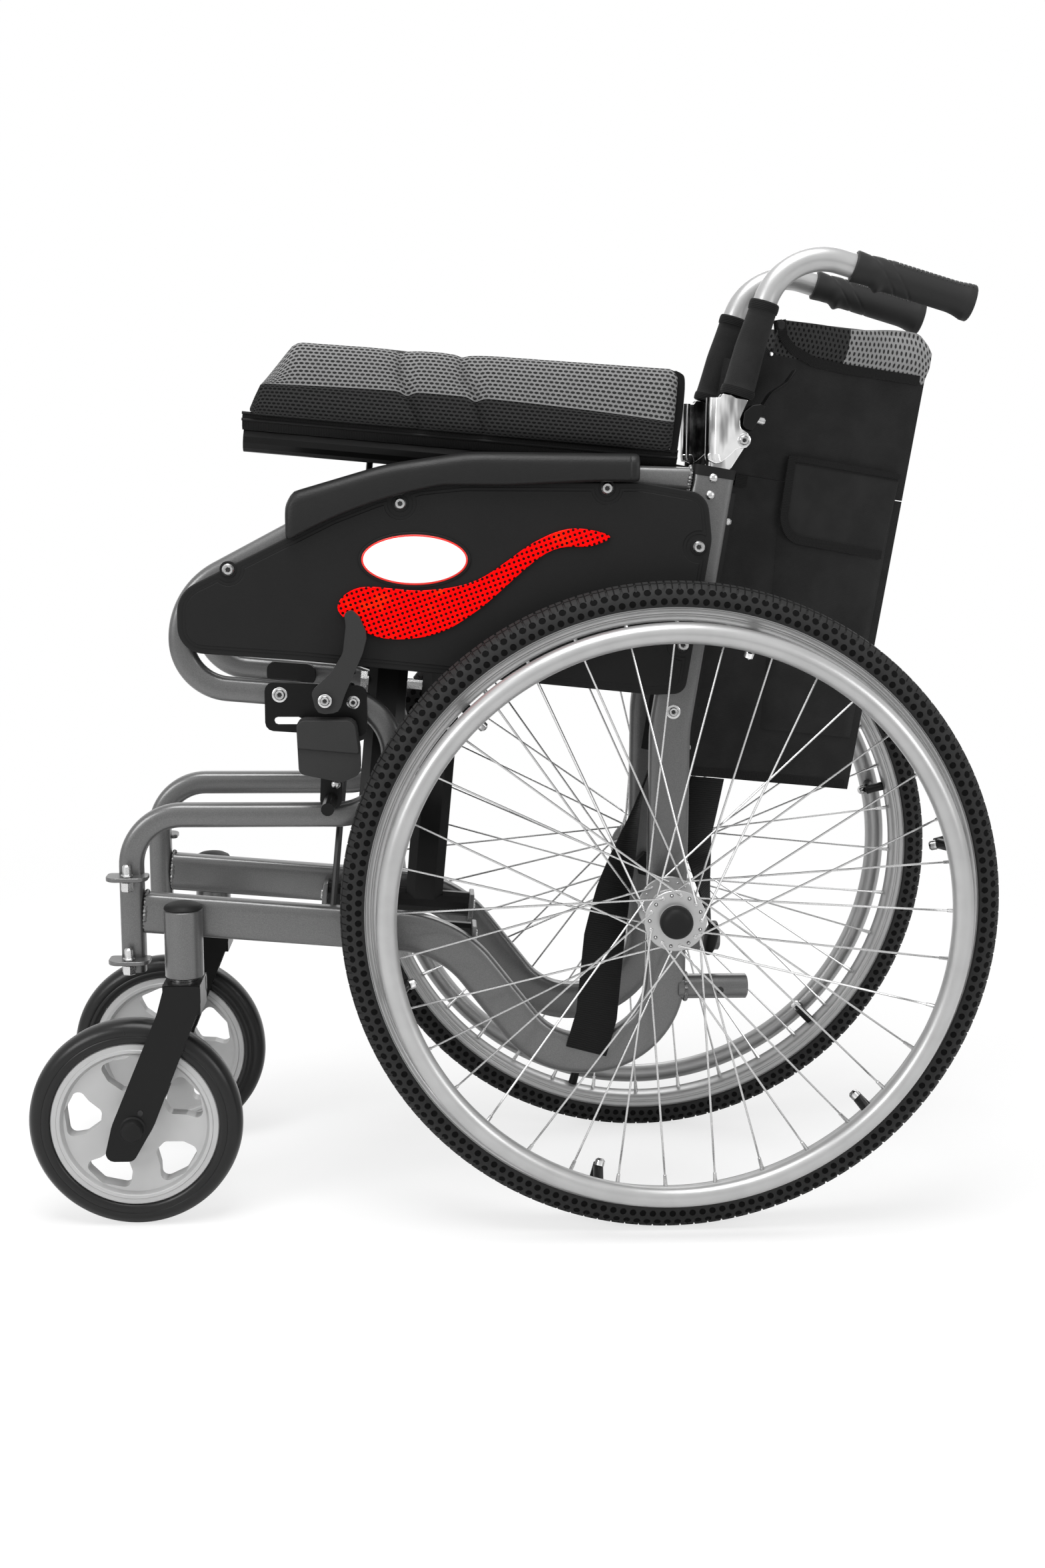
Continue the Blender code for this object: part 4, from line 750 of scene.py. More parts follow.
def lamp(name, place, aim, size, power):
    """A square soft lamp."""
    made = bpy.data.objects.new(name, bpy.data.lights.new(name, "AREA"))
    made.data.shape = "SQUARE"
    made.data.size = size
    made.data.energy = power
    made.location = place
    made.rotation_mode = "QUATERNION"
    made.rotation_quaternion = (Vector(aim) - Vector(place)).to_track_quat("-Z", "Y")
    bpy.context.scene.collection.objects.link(made)


lamp("overhead", (-0.3, -0.7, 2.7), (0.0, 0.0, 0.45), 1.5, 58.0)
lamp("camera_left", (-2.1, -1.9, 1.5), (0.0, 0.0, 0.45), 1.1, 34.0)
lamp("camera_right", (2.2, -1.6, 1.3), (0.0, 0.0, 0.4), 1.1, 20.0)
lamp("behind", (0.6, 2.3, 1.9), (0.0, 0.0, 0.5), 1.4, 16.0)

world = bpy.data.worlds.new("studio")
bpy.context.scene.world = world
world.use_nodes = True
nodes, links = world.node_tree.nodes, world.node_tree.links
rays = nodes.new("ShaderNodeLightPath").outputs


def larger(first, second):
    """The larger of two sockets."""
    made = nodes.new("ShaderNodeMath")
    made.operation = "MAXIMUM"
    links.new(first, made.inputs[0])
    links.new(second, made.inputs[1])
    return made.outputs[0]


SURROUND_LIGHT = 0.44
seen = larger(rays["Is Camera Ray"], rays["Is Transmission Ray"])
strength = nodes.new("ShaderNodeMapRange")
links.new(larger(seen, rays["Is Glossy Ray"]), strength.inputs["Value"])
strength.inputs["To Min"].default_value = SURROUND_LIGHT
strength.inputs["To Max"].default_value = 1.0
links.new(strength.outputs[0], nodes["Background"].inputs["Strength"])
nodes["Background"].inputs["Color"].default_value = WHITE
bpy.context.scene.view_settings.view_transform = "Standard"

# %% [markdown]
# ## The floor
# The floor is a wide pale sheet. Most of what the camera sees of it is its own white, so it meets the white
# room without an edge, and the rest is lit, so the chair's soft shadow stays on it.

# %% Floor
floor_finish = Finish("floor", (0.93, 0.93, 0.93), 0.9)
glow = floor_finish.node("ShaderNodeEmission", {}, {"Color": WHITE, "Strength": 1.0})
far = floor_finish.node("ShaderNodeVectorMath", {"operation": "LENGTH"}, {0: floor_finish.place()}, 1)
share = floor_finish.node("ShaderNodeLightPath", output="Is Camera Ray") * (far.step(0.75, 2.0) * 0.3 + 0.7)
combined = floor_finish.node("ShaderNodeMixShader", {}, {0: share, 2: glow})
floor_finish.tree.links.new(floor_finish.shader.outputs[0], combined.socket.node.inputs[1])
floor_finish.tree.links.new(combined.socket, floor_finish.tree.nodes["Material Output"].inputs["Surface"])
mesh = bmesh.new()
bmesh.ops.create_circle(mesh, cap_ends=True, segments=96, radius=14.0)
floor = thing("floor", mesh, floor_finish)
print("floor laid")

# %% [markdown]
# ## Side frames
# Each side frame is two lengths of aluminium tube. The front one rises as the front post, runs back as the
# brake run, turns up and forwards round the loop, and ends as the arm tube. The rear one starts as the broad
# lower rail, dips under the axle and rises as the rear post. Both are swept along the same lines as in the
# CAD, with finer steps and a section with flatter faces, because that is what draws the long highlights.

# %% Front tube
TUBE_DEPTH = 0.020
FRONT_POST_X = -0.501
FOOT_HEIGHT = 0.240
BRAKE_RUN_HEIGHT = 0.389
BRAKE_RUN_X = -0.2565
LOOP_X = -0.4492
POST_X = 0.001
RAIL_TILT = math.radians(4.7)
SLOPE = math.tan(RAIL_TILT)
LOOP_SLOPE = 0.533
ARM_SLOPE = 0.0258
ARM_END = (0.0138, 0.6985)


def upper_run(x):
    return 0.5005 - SLOPE * (x + 0.3297)


def arm_rear(x):
    return ARM_END[1] - ARM_SLOPE * (x - ARM_END[0])


loop_top = 0.6182 + LOOP_SLOPE * (LOOP_X + 0.4024)
corner_x = (arm_rear(0.0) - 0.6182 - LOOP_SLOPE * 0.4024) / (LOOP_SLOPE + ARM_SLOPE)
front_line = path(
    [(FRONT_POST_X, FOOT_HEIGHT), (FRONT_POST_X, BRAKE_RUN_HEIGHT), (BRAKE_RUN_X, BRAKE_RUN_HEIGHT),
     (BRAKE_RUN_X, upper_run(BRAKE_RUN_X)), (LOOP_X, upper_run(LOOP_X)), (LOOP_X, loop_top),
     (corner_x, arm_rear(corner_x)), ARM_END],
    [0.048, 0.0527, 0.0527, 0.045, 0.0675, 0.42], 18)
front_tube = sweep("front_tube", front_line, soft_box(0.0226, TUBE_DEPTH), frame_paint)
PINS = ((-0.006, 0.0155, 0.0040, 20, 0.0015), (-0.0095, -0.0005, 0.0062, 6, 0.0006),
        (0.0040, 0.0065, 0.0055, 20, 0.0006))
hooks = []
ear_line = outline([(-0.5226, FRAME_Y - 0.0250), (-0.4842, FRAME_Y - 0.0250), (-0.4842, FRAME_Y),
                    (-0.5226, FRAME_Y)], [0.0105, 0.0105, 0.004, 0.004])
pin_y = FRAME_Y - 0.0172
for height, pin_x in ((0.330, -0.5027), (0.2506, -0.5033)):
    laid_flat = Matrix(((1, 0, 0, 0), (0, 0, 1, 0), (0, -1, 0, height), (0, 0, 0, 1)))
    hooks.append(moved(plate("ear", ear_line, -0.004, 0.0, frame_paint, 0.0007), laid_flat))
    for low, high, radius, count, rounding in PINS:
        low_end, high_end = (pin_x, pin_y, height + low), (pin_x, pin_y, height + high)
        hooks.append(rod("pin", low_end, high_end, radius, steel, count, rounding=rounding))
foot_plug = rod("plug", (FRONT_POST_X, FRAME_Y, 0.2385), (FRONT_POST_X, FRAME_Y, 0.2403), 0.0085,
                black_plastic)
both(joined("front_frame_tube", front_tube, foot_plug, *hooks), "frame", "frame_front", slot="frame_paint")
print("front tube points", len(front_line))

# %% Lower rail and beads of weld


def lower_rail(x):
    return 0.2816 - SLOPE * (x + 0.3095)


def weld(name, middle, up, wide, high):
    """A rippled bead of weld round an oval seam across the tube."""
    rings = []
    across, up = Vector((0, 1, 0)), Vector(up)
    way = across.cross(up).normalized()
    for number, turn in enumerate(turns(72)):
        seam = Vector(middle) + across * (wide * math.cos(turn)) + up * (high * math.sin(turn))
        out = (across * math.cos(turn) + up * math.sin(turn)).normalized()
        size = 0.0019 + 0.0005 * math.sin(number * 2.4)
        rings.append([seam + (out * math.cos(spot) + way * math.sin(spot)) * size for spot in turns(8)])
    return skin(name, rings, frame_paint, along=True)


print("rail height over the axle", round(lower_rail(0.0), 4))

# %% Rear tube
TILT_DIP = math.tan(math.radians(52.0))
DIP_HEIGHT = 0.155
SOCKET_HEIGHT = 0.2205
BEND_HEIGHT = 0.470
HINGE_FOOT = (0.0372, 0.7085)
RAIL_END_X = FRONT_POST_X + 0.0125
CASTER_Y = -0.1108


def dip_line(z):
    return -0.1666 + (0.2229 - z) / TILT_DIP


bend_x = (lower_rail(0.0) - 0.2229 + TILT_DIP * 0.1666) / (SLOPE - TILT_DIP)
rear_line = path(
    [(RAIL_END_X, lower_rail(RAIL_END_X)), (bend_x, lower_rail(bend_x)), (dip_line(DIP_HEIGHT), DIP_HEIGHT),
     (POST_X, DIP_HEIGHT), (POST_X, BEND_HEIGHT), HINGE_FOOT],
    [0.100, 0.0745, 0.0745, 0.15], 20)
rear_tube = sweep("rear_tube", rear_line, soft_box(0.038, TUBE_DEPTH, 4.5, 36), frame_paint)
print("rear tube points", len(rear_line))

# %% Head tube, socket and tongue
head_middle = (-0.4512, CASTER_Y, 0.0)
head = lathe("head",
             [(0.0125, 0.2412), (0.0168, 0.2408), (0.0178, 0.2418), (0.0178, 0.3040), (0.0168, 0.3050),
              (0.0125, 0.3050)],
             head_middle, frame_paint, 48, "z")
cap = lathe("cap", [(0.0, 0.3049), (0.0172, 0.3049), (0.0179, 0.3060), (0.0168, 0.3080), (0.0120, 0.3104),
                    (0.0060, 0.3117), (0.0, 0.3120)], head_middle, black_plastic, 48, "z", True)
socket = rod("socket", (POST_X + 0.012, FRAME_Y, SOCKET_HEIGHT), (0.0789, FRAME_Y, SOCKET_HEIGHT), 0.0118,
             frame_paint, 32)
plug = lathe("plug", [(0.0, 0.0), (0.0060, 0.0), (0.0095, 0.0002), (0.0110, 0.0012), (0.0112, 0.0030)],
             (0, 0, 0), black_plastic, 32, "z", True)
socket_end = Matrix.Translation(Vector((0.0800, FRAME_Y, SOCKET_HEIGHT)))
moved(plug, socket_end @ Matrix.Rotation(-math.pi / 2, 4, "Y"))
# The hole is a near-black plug of painted shade.
hole = rod("hole", (0.0529, FRAME_Y - 0.0120, 0.2195), (0.0529, FRAME_Y - 0.0105, 0.2195), 0.0036, painted_recess_shade)
ring_seam = weld("seam", (POST_X + 0.0195, FRAME_Y, SOCKET_HEIGHT), (0, 0, 1), 0.0110, 0.0125)
front_seam = weld("front_seam", (RAIL_END_X, FRAME_Y, lower_rail(FRONT_POST_X)), (0.08, 0, 1), 0.0095, 0.0190)
arm_seam = weld("arm_seam", (0.0140, FRAME_Y, ARM_END[1]), (0.15, 0, 1), 0.0098, 0.0112)
tongue = plate("tongue", [(0.0322, 0.7025), (0.0480, 0.7025), (0.0640, 0.7280), (0.0668, 0.7340),
                          (0.0640, 0.7400), (0.0560, 0.7430), (0.0342, 0.7433)],
               FRAME_Y - 0.0055, FRAME_Y + 0.0055, chrome)
collar = sweep("collar", [(0.0361, 0.7010), (0.0369, 0.7065), (0.0375, 0.7100)],
               soft_box(0.0392, 0.0212, 4.5, 36), black_plastic)
print("fittings of the rear tube made")

# %% Lugs of the cross
ALONG = Vector((math.cos(RAIL_TILT), 0.0, -math.sin(RAIL_TILT)))
UP = Vector((math.sin(RAIL_TILT), 0.0, math.cos(RAIL_TILT)))


def gear_point(along, y, up):
    """A point measured along the lower rail, across, and up from the line of the cross's lower pivots."""
    return Vector((BRAKE_RUN_X, 0.0, 0.2715)) + ALONG * along + Vector((0.0, y, 0.0)) + UP * up


lugs = []
for end in (-1, 1):
    low = -0.026 if end > 0 else -0.012
    corners = [(-0.0790, low), (-0.0498, -0.012), (-0.0498, 0.0125), (-0.0790, 0.0125)]
    rings = [[gear_point(end * along, y, up) for y, up in corners] for along in (0.0723, 0.0773)]
    lugs.append(eased(skin("lug", rings, frame_paint, sharp=30.0), 0.0012))
    outer_end, inner_end = (gear_point(end * along, -0.060, 0.0) for along in (0.0790, 0.0600))
    lugs.append(rod("pin", outer_end, inner_end, 0.0050, steel))
both(joined("rear_frame_tube", rear_tube, head, cap, socket, plug, hole, ring_seam, front_seam, arm_seam,
            tongue, collar, *lugs),
     "frame", "frame_rear", slot="frame_paint")
print("lugs and pins", len(lugs))

# %% [markdown]
# ## Screws
# Pan-head screws with a washer and a hexagon socket hold the panel, the brake plate and the post. One helper
# turns the head, so that each screw only needs its place.

# %% Screws and rivets


def screw(place, radius, washer=0.0):
    """A socket screw whose head faces away from the chair at place."""
    x, y, z = place
    line = [(0.0, -0.0012), (radius * 0.48, -0.0012), (radius * 0.50, -0.0030), (radius * 0.78, -0.0031),
            (radius, -0.0016), (radius, 0.0)]
    # The hexagon socket is a near-black plug of painted shade.
    parts = [lathe("head", line, place, steel, 28, open_profile=True),
             rod("socket", (x, y - 0.0010, z), (x, y - 0.0016, z), radius * 0.44, painted_recess_shade, 6, rounding=0.0001)]
    if washer:
        ring = [(washer, 0.0), (washer, -0.0008), (washer - 0.0005, -0.0011), (radius * 0.7, -0.0011)]
        parts.append(lathe("washer", ring, place, steel, 32, open_profile=True))
    return joined("screw", *parts)


post_face = FRAME_Y - TUBE_DEPTH / 2 - 0.0001
post_screws = [screw((0.0029, post_face, 0.4865), 0.0046, 0.0066)]
for x, z in ((0.0352, 0.7003), (0.0327, 0.6849)):
    post_screws.append(lathe("rivet", [(0.0, -0.0022), (0.0018, -0.0021), (0.0036, -0.0012), (0.0042, 0.0)],
                             (x, post_face, z), steel, 24, open_profile=True))
both(joined("post_screws", *post_screws), "frame")
print("post screws", len(post_screws))

# %% [markdown]
# ## Rear wheels
# A wheel is turned work: a double-walled alloy rim, a hub with two drilled flanges, and a tyre. The spokes
# cross three others on the way from the hub to the rim and end in nipples, so each one is a thin rod laid
# between two computed points. The flat map made by the skin helper places the dimples of the tyre.

# %% Tyres and rims
WHEEL = Vector((0.0, -0.1358, AXLE_HEIGHT))
TREAD = ((-0.085, 0.0), (-0.04, 0.0016), (0.04, 0.0016), (0.085, 0.0), (0.36, 0.0), (0.64, 0.0))
BEAD_POINT = (0.2822, 0.0128)


def on_wheel(radius, angle, across):
    """A place on the wheel: its radius, its angle and how far it is across."""
    return WHEEL + Vector((radius * math.cos(angle), across, radius * math.sin(angle)))


tyre_rings = []
for number in range(BLOCKS):
    for share, depth in TREAD:
        section = [BEAD_POINT]
        for spot in range(24):
            degrees = -15.0 + 210.0 * spot / 23
            size = TUBE - (depth if 38.0 < degrees < 142.0 else 0.0)
            section.append((WALL_RADIUS + size * math.sin(math.radians(degrees)),
                            TUBE * math.cos(math.radians(degrees)) * 0.985))
        section.append((BEAD_POINT[0], -BEAD_POINT[1]))
        angle = 2 * math.pi * (number + share) / BLOCKS
        tyre_rings.append([on_wheel(radius, angle, place) for radius, place in section])
tyre = skin("tyre", tyre_rings, tyre_rubber, along=True, sharp=35.0)
both(tyre, "drive_wheel", "rear_tyre", slot="tyre_rubber")
half_rim = [(0.2690, 0.0), (0.2691, 0.0052), (0.2698, 0.0090), (0.2714, 0.0116), (0.2734, 0.0127),
            (0.2746, 0.0130), (0.2749, 0.0126), (0.2752, 0.0130), (0.2764, 0.0132), (0.2767, 0.0128),
            (0.2770, 0.0133), (0.2810, 0.0138), (0.2813, 0.0133), (0.2816, 0.0138), (0.2826, 0.0137),
            (0.2827, 0.0128), (0.2818, 0.0122), (0.2782, 0.0118), (0.2770, 0.0100), (0.2764, 0.0)]
rim = lathe("rim", both_ways(half_rim), WHEEL, alloy, 288, sharp=55.0)
print("tyre faces", len(tyre.data.polygons), "rim faces", len(rim.data.polygons))

# %% Hub, spokes and nipples
FLANGES = (-0.030, 0.025)
SPOKES = 36
SPOKE_CIRCLE = 0.0238
SPOKE_SIDE = 0.0024
STUD_ANGLES = [2 * math.pi * (number + 0.25) / 6 for number in range(6)]
hub_line = [(0.0064, -0.0334), (0.0148, -0.0334), (0.0150, -0.0322), (0.0150, -0.0319), (0.0278, -0.0318),
            (0.0285, -0.0312), (0.0285, -0.0288), (0.0278, -0.0282), (0.0165, -0.0280), (0.0135, -0.0245),
            (0.0125, -0.0160), (0.0125, 0.0120), (0.0135, 0.0195), (0.0165, 0.0230), (0.0278, 0.0232),
            (0.0285, 0.0238), (0.0285, 0.0262), (0.0278, 0.0268), (0.0150, 0.0268), (0.0148, 0.0372),
            (0.0064, 0.0374)]
wheel_parts = [rim, lathe("hub", hub_line, WHEEL, alloy, 64)]
for number, rim_angle in enumerate(turns(SPOKES)):
    outer = number % 2 == 0
    leading = number // 2 % 2 == 0
    hub_angle = rim_angle + math.radians(60.0 if leading else -60.0)
    flange = FLANGES[0] if outer else FLANGES[1]
    side = SPOKE_SIDE if leading else -SPOKE_SIDE
    start = on_wheel(SPOKE_CIRCLE, hub_angle, flange + side)
    end = on_wheel(0.2700, rim_angle, flange * 0.06)
    near_rim = end + (start - end).normalized() * 0.0135
    through = on_wheel(SPOKE_CIRCLE, hub_angle, flange - side * 1.35)
    wheel_parts += [rod("spoke", start, end, 0.0010, steel, 8, rounding=0.0002),
                    rod("nipple", near_rim, end, 0.0016, steel, 8, end_radius=0.0021, rounding=0.0003),
                    rod("elbow", start, through, 0.0011, steel, 8, rounding=0.0005)]
    if outer or leading:
        spot = on_wheel(SPOKE_CIRCLE, hub_angle, flange - 0.00185 if outer else flange + 0.00185)
        # Open flange holes are near-black discs of painted shade.
        finish, size = (painted_recess_shade, 0.0016) if leading else (steel, 0.0019)
        wheel_parts.append(rod("rivet", spot + Vector((0, 0.0004, 0)), spot - Vector((0, 0.0006, 0)), size,
                               finish, 12, rounding=0.0002))
for angle in STUD_ANGLES:
    wheel_parts.append(rod("foot", on_wheel(0.2720, angle, -0.0020), on_wheel(0.2505, angle, -0.0020), 0.0046,
                           black_metal))
both(joined("spoked_wheel", *wheel_parts), "drive_wheel", "wheel", slot="bright_alloy")
print("wheel pieces", len(wheel_parts))

# %% Handrims, their brackets, and hub caps
handrim_parts = [lathe("ring", bend(0.2616, -0.0385, 0.0096, 0.0096, range(0, 360, 15)), WHEEL, alloy, 256)]
for angle in STUD_ANGLES:
    handrim_parts.append(rod("sleeve", on_wheel(0.2600, angle, -0.0320), on_wheel(0.2530, angle, -0.0068),
                             0.0048, black_metal))
    handrim_parts.append(rod("bolt", on_wheel(0.2520, angle, -0.0092), on_wheel(0.2440, angle, -0.0070),
                             0.0046, chrome, 24, rounding=0.0018))
both(joined("push_ring", *handrim_parts), "drive_wheel", "handrim", slot="bright_alloy")
hub_cap = lathe("axle_cap", [(0.0, -0.0478), (0.0050, -0.0477), (0.0095, -0.0469), (0.0130, -0.0450),
                             (0.0148, -0.0415), (0.0151, -0.0380), (0.0151, -0.0345), (0.0140, -0.0337),
                             (0.0, -0.0337)], WHEEL, black_plastic, 48, open_profile=True)
both(hub_cap, "drive_wheel", "hub_cap", slot="black_plastic")
keep(["rear_axle"], black_metal, 0.0005)
print("handrim pieces", len(handrim_parts))

# %% [markdown]
# ## Casters
# The caster wheels are one casting of grey plastic with five openings between curved arms. The wheel is
# turned first, and five rounded cutters are then taken out of it, as a mould's cores would. Solid rubber
# tyres with a shallow line sit on them, and bent flat steel makes the forks.

# %% Caster wheels and tyres
CASTER = Vector((-0.500, CASTER_Y, 0.100))
web_line = [(0.0050, -0.0166), (0.0140, -0.0168), (0.0152, -0.0156), (0.0170, -0.0092), (0.0250, -0.0068),
            (0.0560, -0.0068), (0.0670, -0.0084), (0.0690, -0.0122), (0.0700, -0.0130), (0.0728, -0.0132),
            (0.0735, -0.0124), (0.0780, -0.0122), (0.0789, -0.0114)]
web = lathe("caster_web", both_ways(web_line), CASTER, grey_plastic, 120, sharp=30.0)
cutters = []
for start in turns(5):
    corners = []
    for radius, turn in ((0.0645, -23), (0.0672, 0), (0.0645, 23), (0.0480, 24), (0.0325, 12), (0.0330, -10),
                         (0.0480, -16)):
        angle = start + math.radians(25.0) + math.radians(turn)
        corners.append((CASTER.x + radius * math.cos(angle), CASTER.z + radius * math.sin(angle)))
    cutters.append(plate("core", outline(corners, 0.0062, 6), CASTER.y - 0.03, CASTER.y + 0.03, grey_plastic))
web = eased(cut(web, *cutters), 0.0011, 2)
both(web, "caster_roller", "caster_wheel", slot="grey_plastic")
tyre_wall = [(0.0791, -0.0124), (0.0800, -0.0138), (0.0828, -0.0149), (0.0862, -0.0150), (0.0868, -0.0144),
             (0.0874, -0.0148), (0.0920, -0.0141), (0.0962, -0.0117), (0.0990, -0.0074), (0.1000, 0.0)]
both(lathe("caster_rubber", both_ways(tyre_wall), CASTER, caster_rubber, 160, sharp=60.0), "caster_roller",
     "caster_tyre", slot="tyre_rubber")
keep(["caster_fork"], black_metal, 0.0009)
fork_face = CASTER.y - 0.0150 - 0.0085
axle_line = [(0.0, -0.0105), (0.0060, -0.0103), (0.0090, -0.0092), (0.0102, -0.0070), (0.0104, -0.0010),
             (0.0120, 0.0)]
race_line = [(0.0080, 0.2375), (0.0130, 0.2378), (0.0132, 0.2398), (0.0110, 0.2407), (0.0080, 0.2407)]
# The slot in the axle cap is a near-black plug of painted shade.
steer = [lathe("axle_cap", axle_line, (CASTER.x, fork_face, CASTER.z), black_plastic, 32, open_profile=True),
         rod("slot", (-0.4925, fork_face + 0.0003, 0.1155), (-0.4925, fork_face - 0.0004, 0.1155), 0.0030,
             painted_recess_shade),
         lathe("race", race_line, (-0.4522, CASTER_Y, 0.0), steel, 40, "z")]
both(joined("fork_fittings", *steer), "caster_swivel")
print("caster wheel faces", len(web.data.polygons))

# %% [markdown]
# ## Side panels
# The clothes guard is a moulded plastic plate. Its middle stands proud of its rim in two low steps, and both
# steps go round the screws. The steps are the panel's own outline moved inwards, so a small function moves
# the straight sides of an outline in and lets them meet again. Round cores cut the notches out.

# %% Outlines and heights


def inset(points, amount):
    """The corners of a closed outline after all its sides have moved in by amount."""
    moved = []
    for number, here in enumerate(points):
        before, after = Vector(points[number - 1]), Vector(points[(number + 1) % len(points)])
        here = Vector(here)
        arriving, leaving = (here - before).normalized(), (after - here).normalized()
        first, second = Vector((-arriving.y, arriving.x)), Vector((-leaving.y, leaving.x))
        moved.append(here + (first + second) * (amount / (1.0 + first.dot(second))))
    return moved


def smooth(points, count=8):
    """A closed curve that passes through every point."""
    made = []
    size = len(points)
    for number in range(size):
        a, b, c, d = (Vector(points[(number + shift) % size]) for shift in (-1, 0, 1, 2))
        for step in range(count):
            t = step / count
            made.append(0.5 * (2 * b + (c - a) * t + (2 * a - 5 * b + 4 * c - d) * t * t
                               + (3 * b - a - 3 * c + d) * t * t * t))
    return made


def height_at(line, x, lowest=0.55):
    """The height of a side line over x."""
    for first, second in zip(line[:-1], line[1:]):
        low, high = sorted((first.x, second.x))
        if low <= x <= high and min(first.y, second.y) > lowest and high > low:
            return first.y + (second.y - first.y) * (x - first.x) / (second.x - first.x)
    return line[-1].y


def skirt_edge(x):
    """Where the inner side of the armrest pad ends, beside the arm tube."""
    return min(0.6975, height_at(front_line, x) + 0.0010)


print("top of the panel", round(skirt_edge(-0.1), 4))

# %% Panel
PANEL_DROP = 0.0015
panel_corners = [(-0.3471, skirt_edge(-0.3471) - PANEL_DROP), (-0.4500, 0.5960), (-0.4500, 0.5425),
                 (-0.3380, 0.5348), (-0.0174, 0.5035), (0.0120, 0.5045), (0.0340, 0.6450), (0.0290, 0.6860)]
panel_radii = [0.02, 0.030, 0.024, 0.0, 0.05, 0.012, 0.04, 0.02]
for x in (-0.0300, -0.0700, -0.1100, -0.1500, -0.1900, -0.2300, -0.2700, -0.3100):
    panel_corners.append((x, skirt_edge(x) - PANEL_DROP))
    panel_radii.append(0.0)
panel_screws = [(-0.4030, 0.6170), (-0.2483, 0.6764), (-0.0621, 0.6907), (0.0219, 0.6385), (0.0092, 0.5498)]
base_line = outline(panel_corners, panel_radii, 10)
panel_parts = [plate("base", base_line, -0.1072, -0.0985, black_plastic, 0.0012, 3)]
for amount, notch, face in ((0.0052, 0.0118, -0.1079), (0.0078, 0.0146, -0.1086)):
    radii = [max(0.003, radius - amount) if radius else 0.0 for radius in panel_radii]
    step = plate("step", outline(inset(panel_corners, amount), radii, 10), face, -0.1000, black_plastic,
                 0.0005)
    cores = [rod("core", (x, -0.12, z), (x, -0.095, z), notch, black_plastic, 40) for x, z in panel_screws]
    panel_parts.append(cut(step, *cores))
seat_line = [(0.0078, -0.1071), (0.0074, -0.1077), (0.0, -0.1077)]
for x, z in panel_screws:
    panel_parts.append(lathe("seat", seat_line, (x, 0, z), black_plastic, 32, open_profile=True))
    panel_parts.append(screw((x, -0.1076, z), 0.0054))
both(joined("guard_panel", *panel_parts), "frame", "side_panel", slot="black_plastic")
print("panel steps and screws", len(panel_parts))

# %% Reflector and badge
reflector_line = smooth([(-0.3047, 0.5809), (-0.2853, 0.6013), (-0.2273, 0.5990), (-0.1786, 0.6087),
                         (-0.1271, 0.6428), (-0.0929, 0.6548), (-0.0598, 0.6484), (-0.0753, 0.6394),
                         (-0.1168, 0.6327), (-0.1786, 0.5811), (-0.2202, 0.5587), (-0.2690, 0.5568)])
bead_line = inset(reflector_line, -0.0021)
bead = plate("bead", bead_line, -0.1099, -0.1080, black_plastic, 0.0006, 3)
lens = plate("lens", reflector_line, -0.1116, -0.1088, reflector_red, 0.0005)


def oval(wide, high):
    return bend(-0.2355, 0.6264, wide, high, range(0, 360, 5))


surround = plate("surround", oval(0.0506, 0.0252), -0.1102, -0.1080, black_plastic, 0.0008, 3)
red_rim = plate("red_rim", oval(0.0480, 0.0226), -0.1112, -0.1090, badge_red, 0.0005)
face = plate("face", oval(0.0463, 0.0209), -0.1115, -0.1095, badge_white, 0.0003)
both(joined("reflector_lens", lens, bead), "frame", "reflector", slot="red_reflector")
both(joined("badge", surround, red_rim, face), "frame")
print("reflector points", len(reflector_line))

# %% [markdown]
# ## Armrest pads
# The pad is foam under a leathery vinyl skin. It lies on the arm tube and laps down over its outer side, so
# its section changes along the tube: one ring of points is worked out for each place, with two soft upper
# edges and a lip along the bottom of the outer side. The rings shrink at both ends, where the skin is pulled
# round the foam.

# %% Armrest pads
pad_top = path([(-0.3530, 0.6740), (-0.3440, 0.6862), (-0.2606, 0.7110), (-0.1858, 0.7222),
                (-0.0300, 0.7212)],
               [0.008, 0.25, 0.2], 14)
INNER_EDGE, OUTER_EDGE, LIP_EDGE = 0.0090, 0.0105, 0.0050
PAD_MIDDLE_Y = -0.1020


def pad_ring(x, size):
    """The pad's section at x, shrunk round its middle by size."""
    top, tube = height_at(pad_top, x), height_at(front_line, x)
    under, skirt = tube + 0.0128, skirt_edge(x)
    lip = skirt - 0.0050 + 0.0040 * clamp((x + 0.150) / 0.080)
    ring = [(-0.0798, under), (-0.0798, top - INNER_EDGE)]
    ring += bend(-0.0888, top - INNER_EDGE, INNER_EDGE, INNER_EDGE, range(15, 91, 15))
    ring += [(-0.0950, top + 0.0005), (-0.1020, top + 0.0004)]
    ring += bend(-0.1085, top - OUTER_EDGE, OUTER_EDGE, OUTER_EDGE, range(90, 181, 15))
    ring += bend(-0.1140, lip + LIP_EDGE, LIP_EDGE, LIP_EDGE, range(180, 271, 15))
    ring += [(-0.1098, lip), (-0.1090, lip + 0.0008), (-0.1088, skirt), (-0.0990, skirt),
             (-0.0983, skirt + 0.0008), (-0.0983, under - 0.0008), (-0.0976, under)]
    middle = (top + skirt) / 2
    return [Vector((x, PAD_MIDDLE_Y + (y - PAD_MIDDLE_Y) * size, middle + (z - middle) * size))
            for y, z in ring]


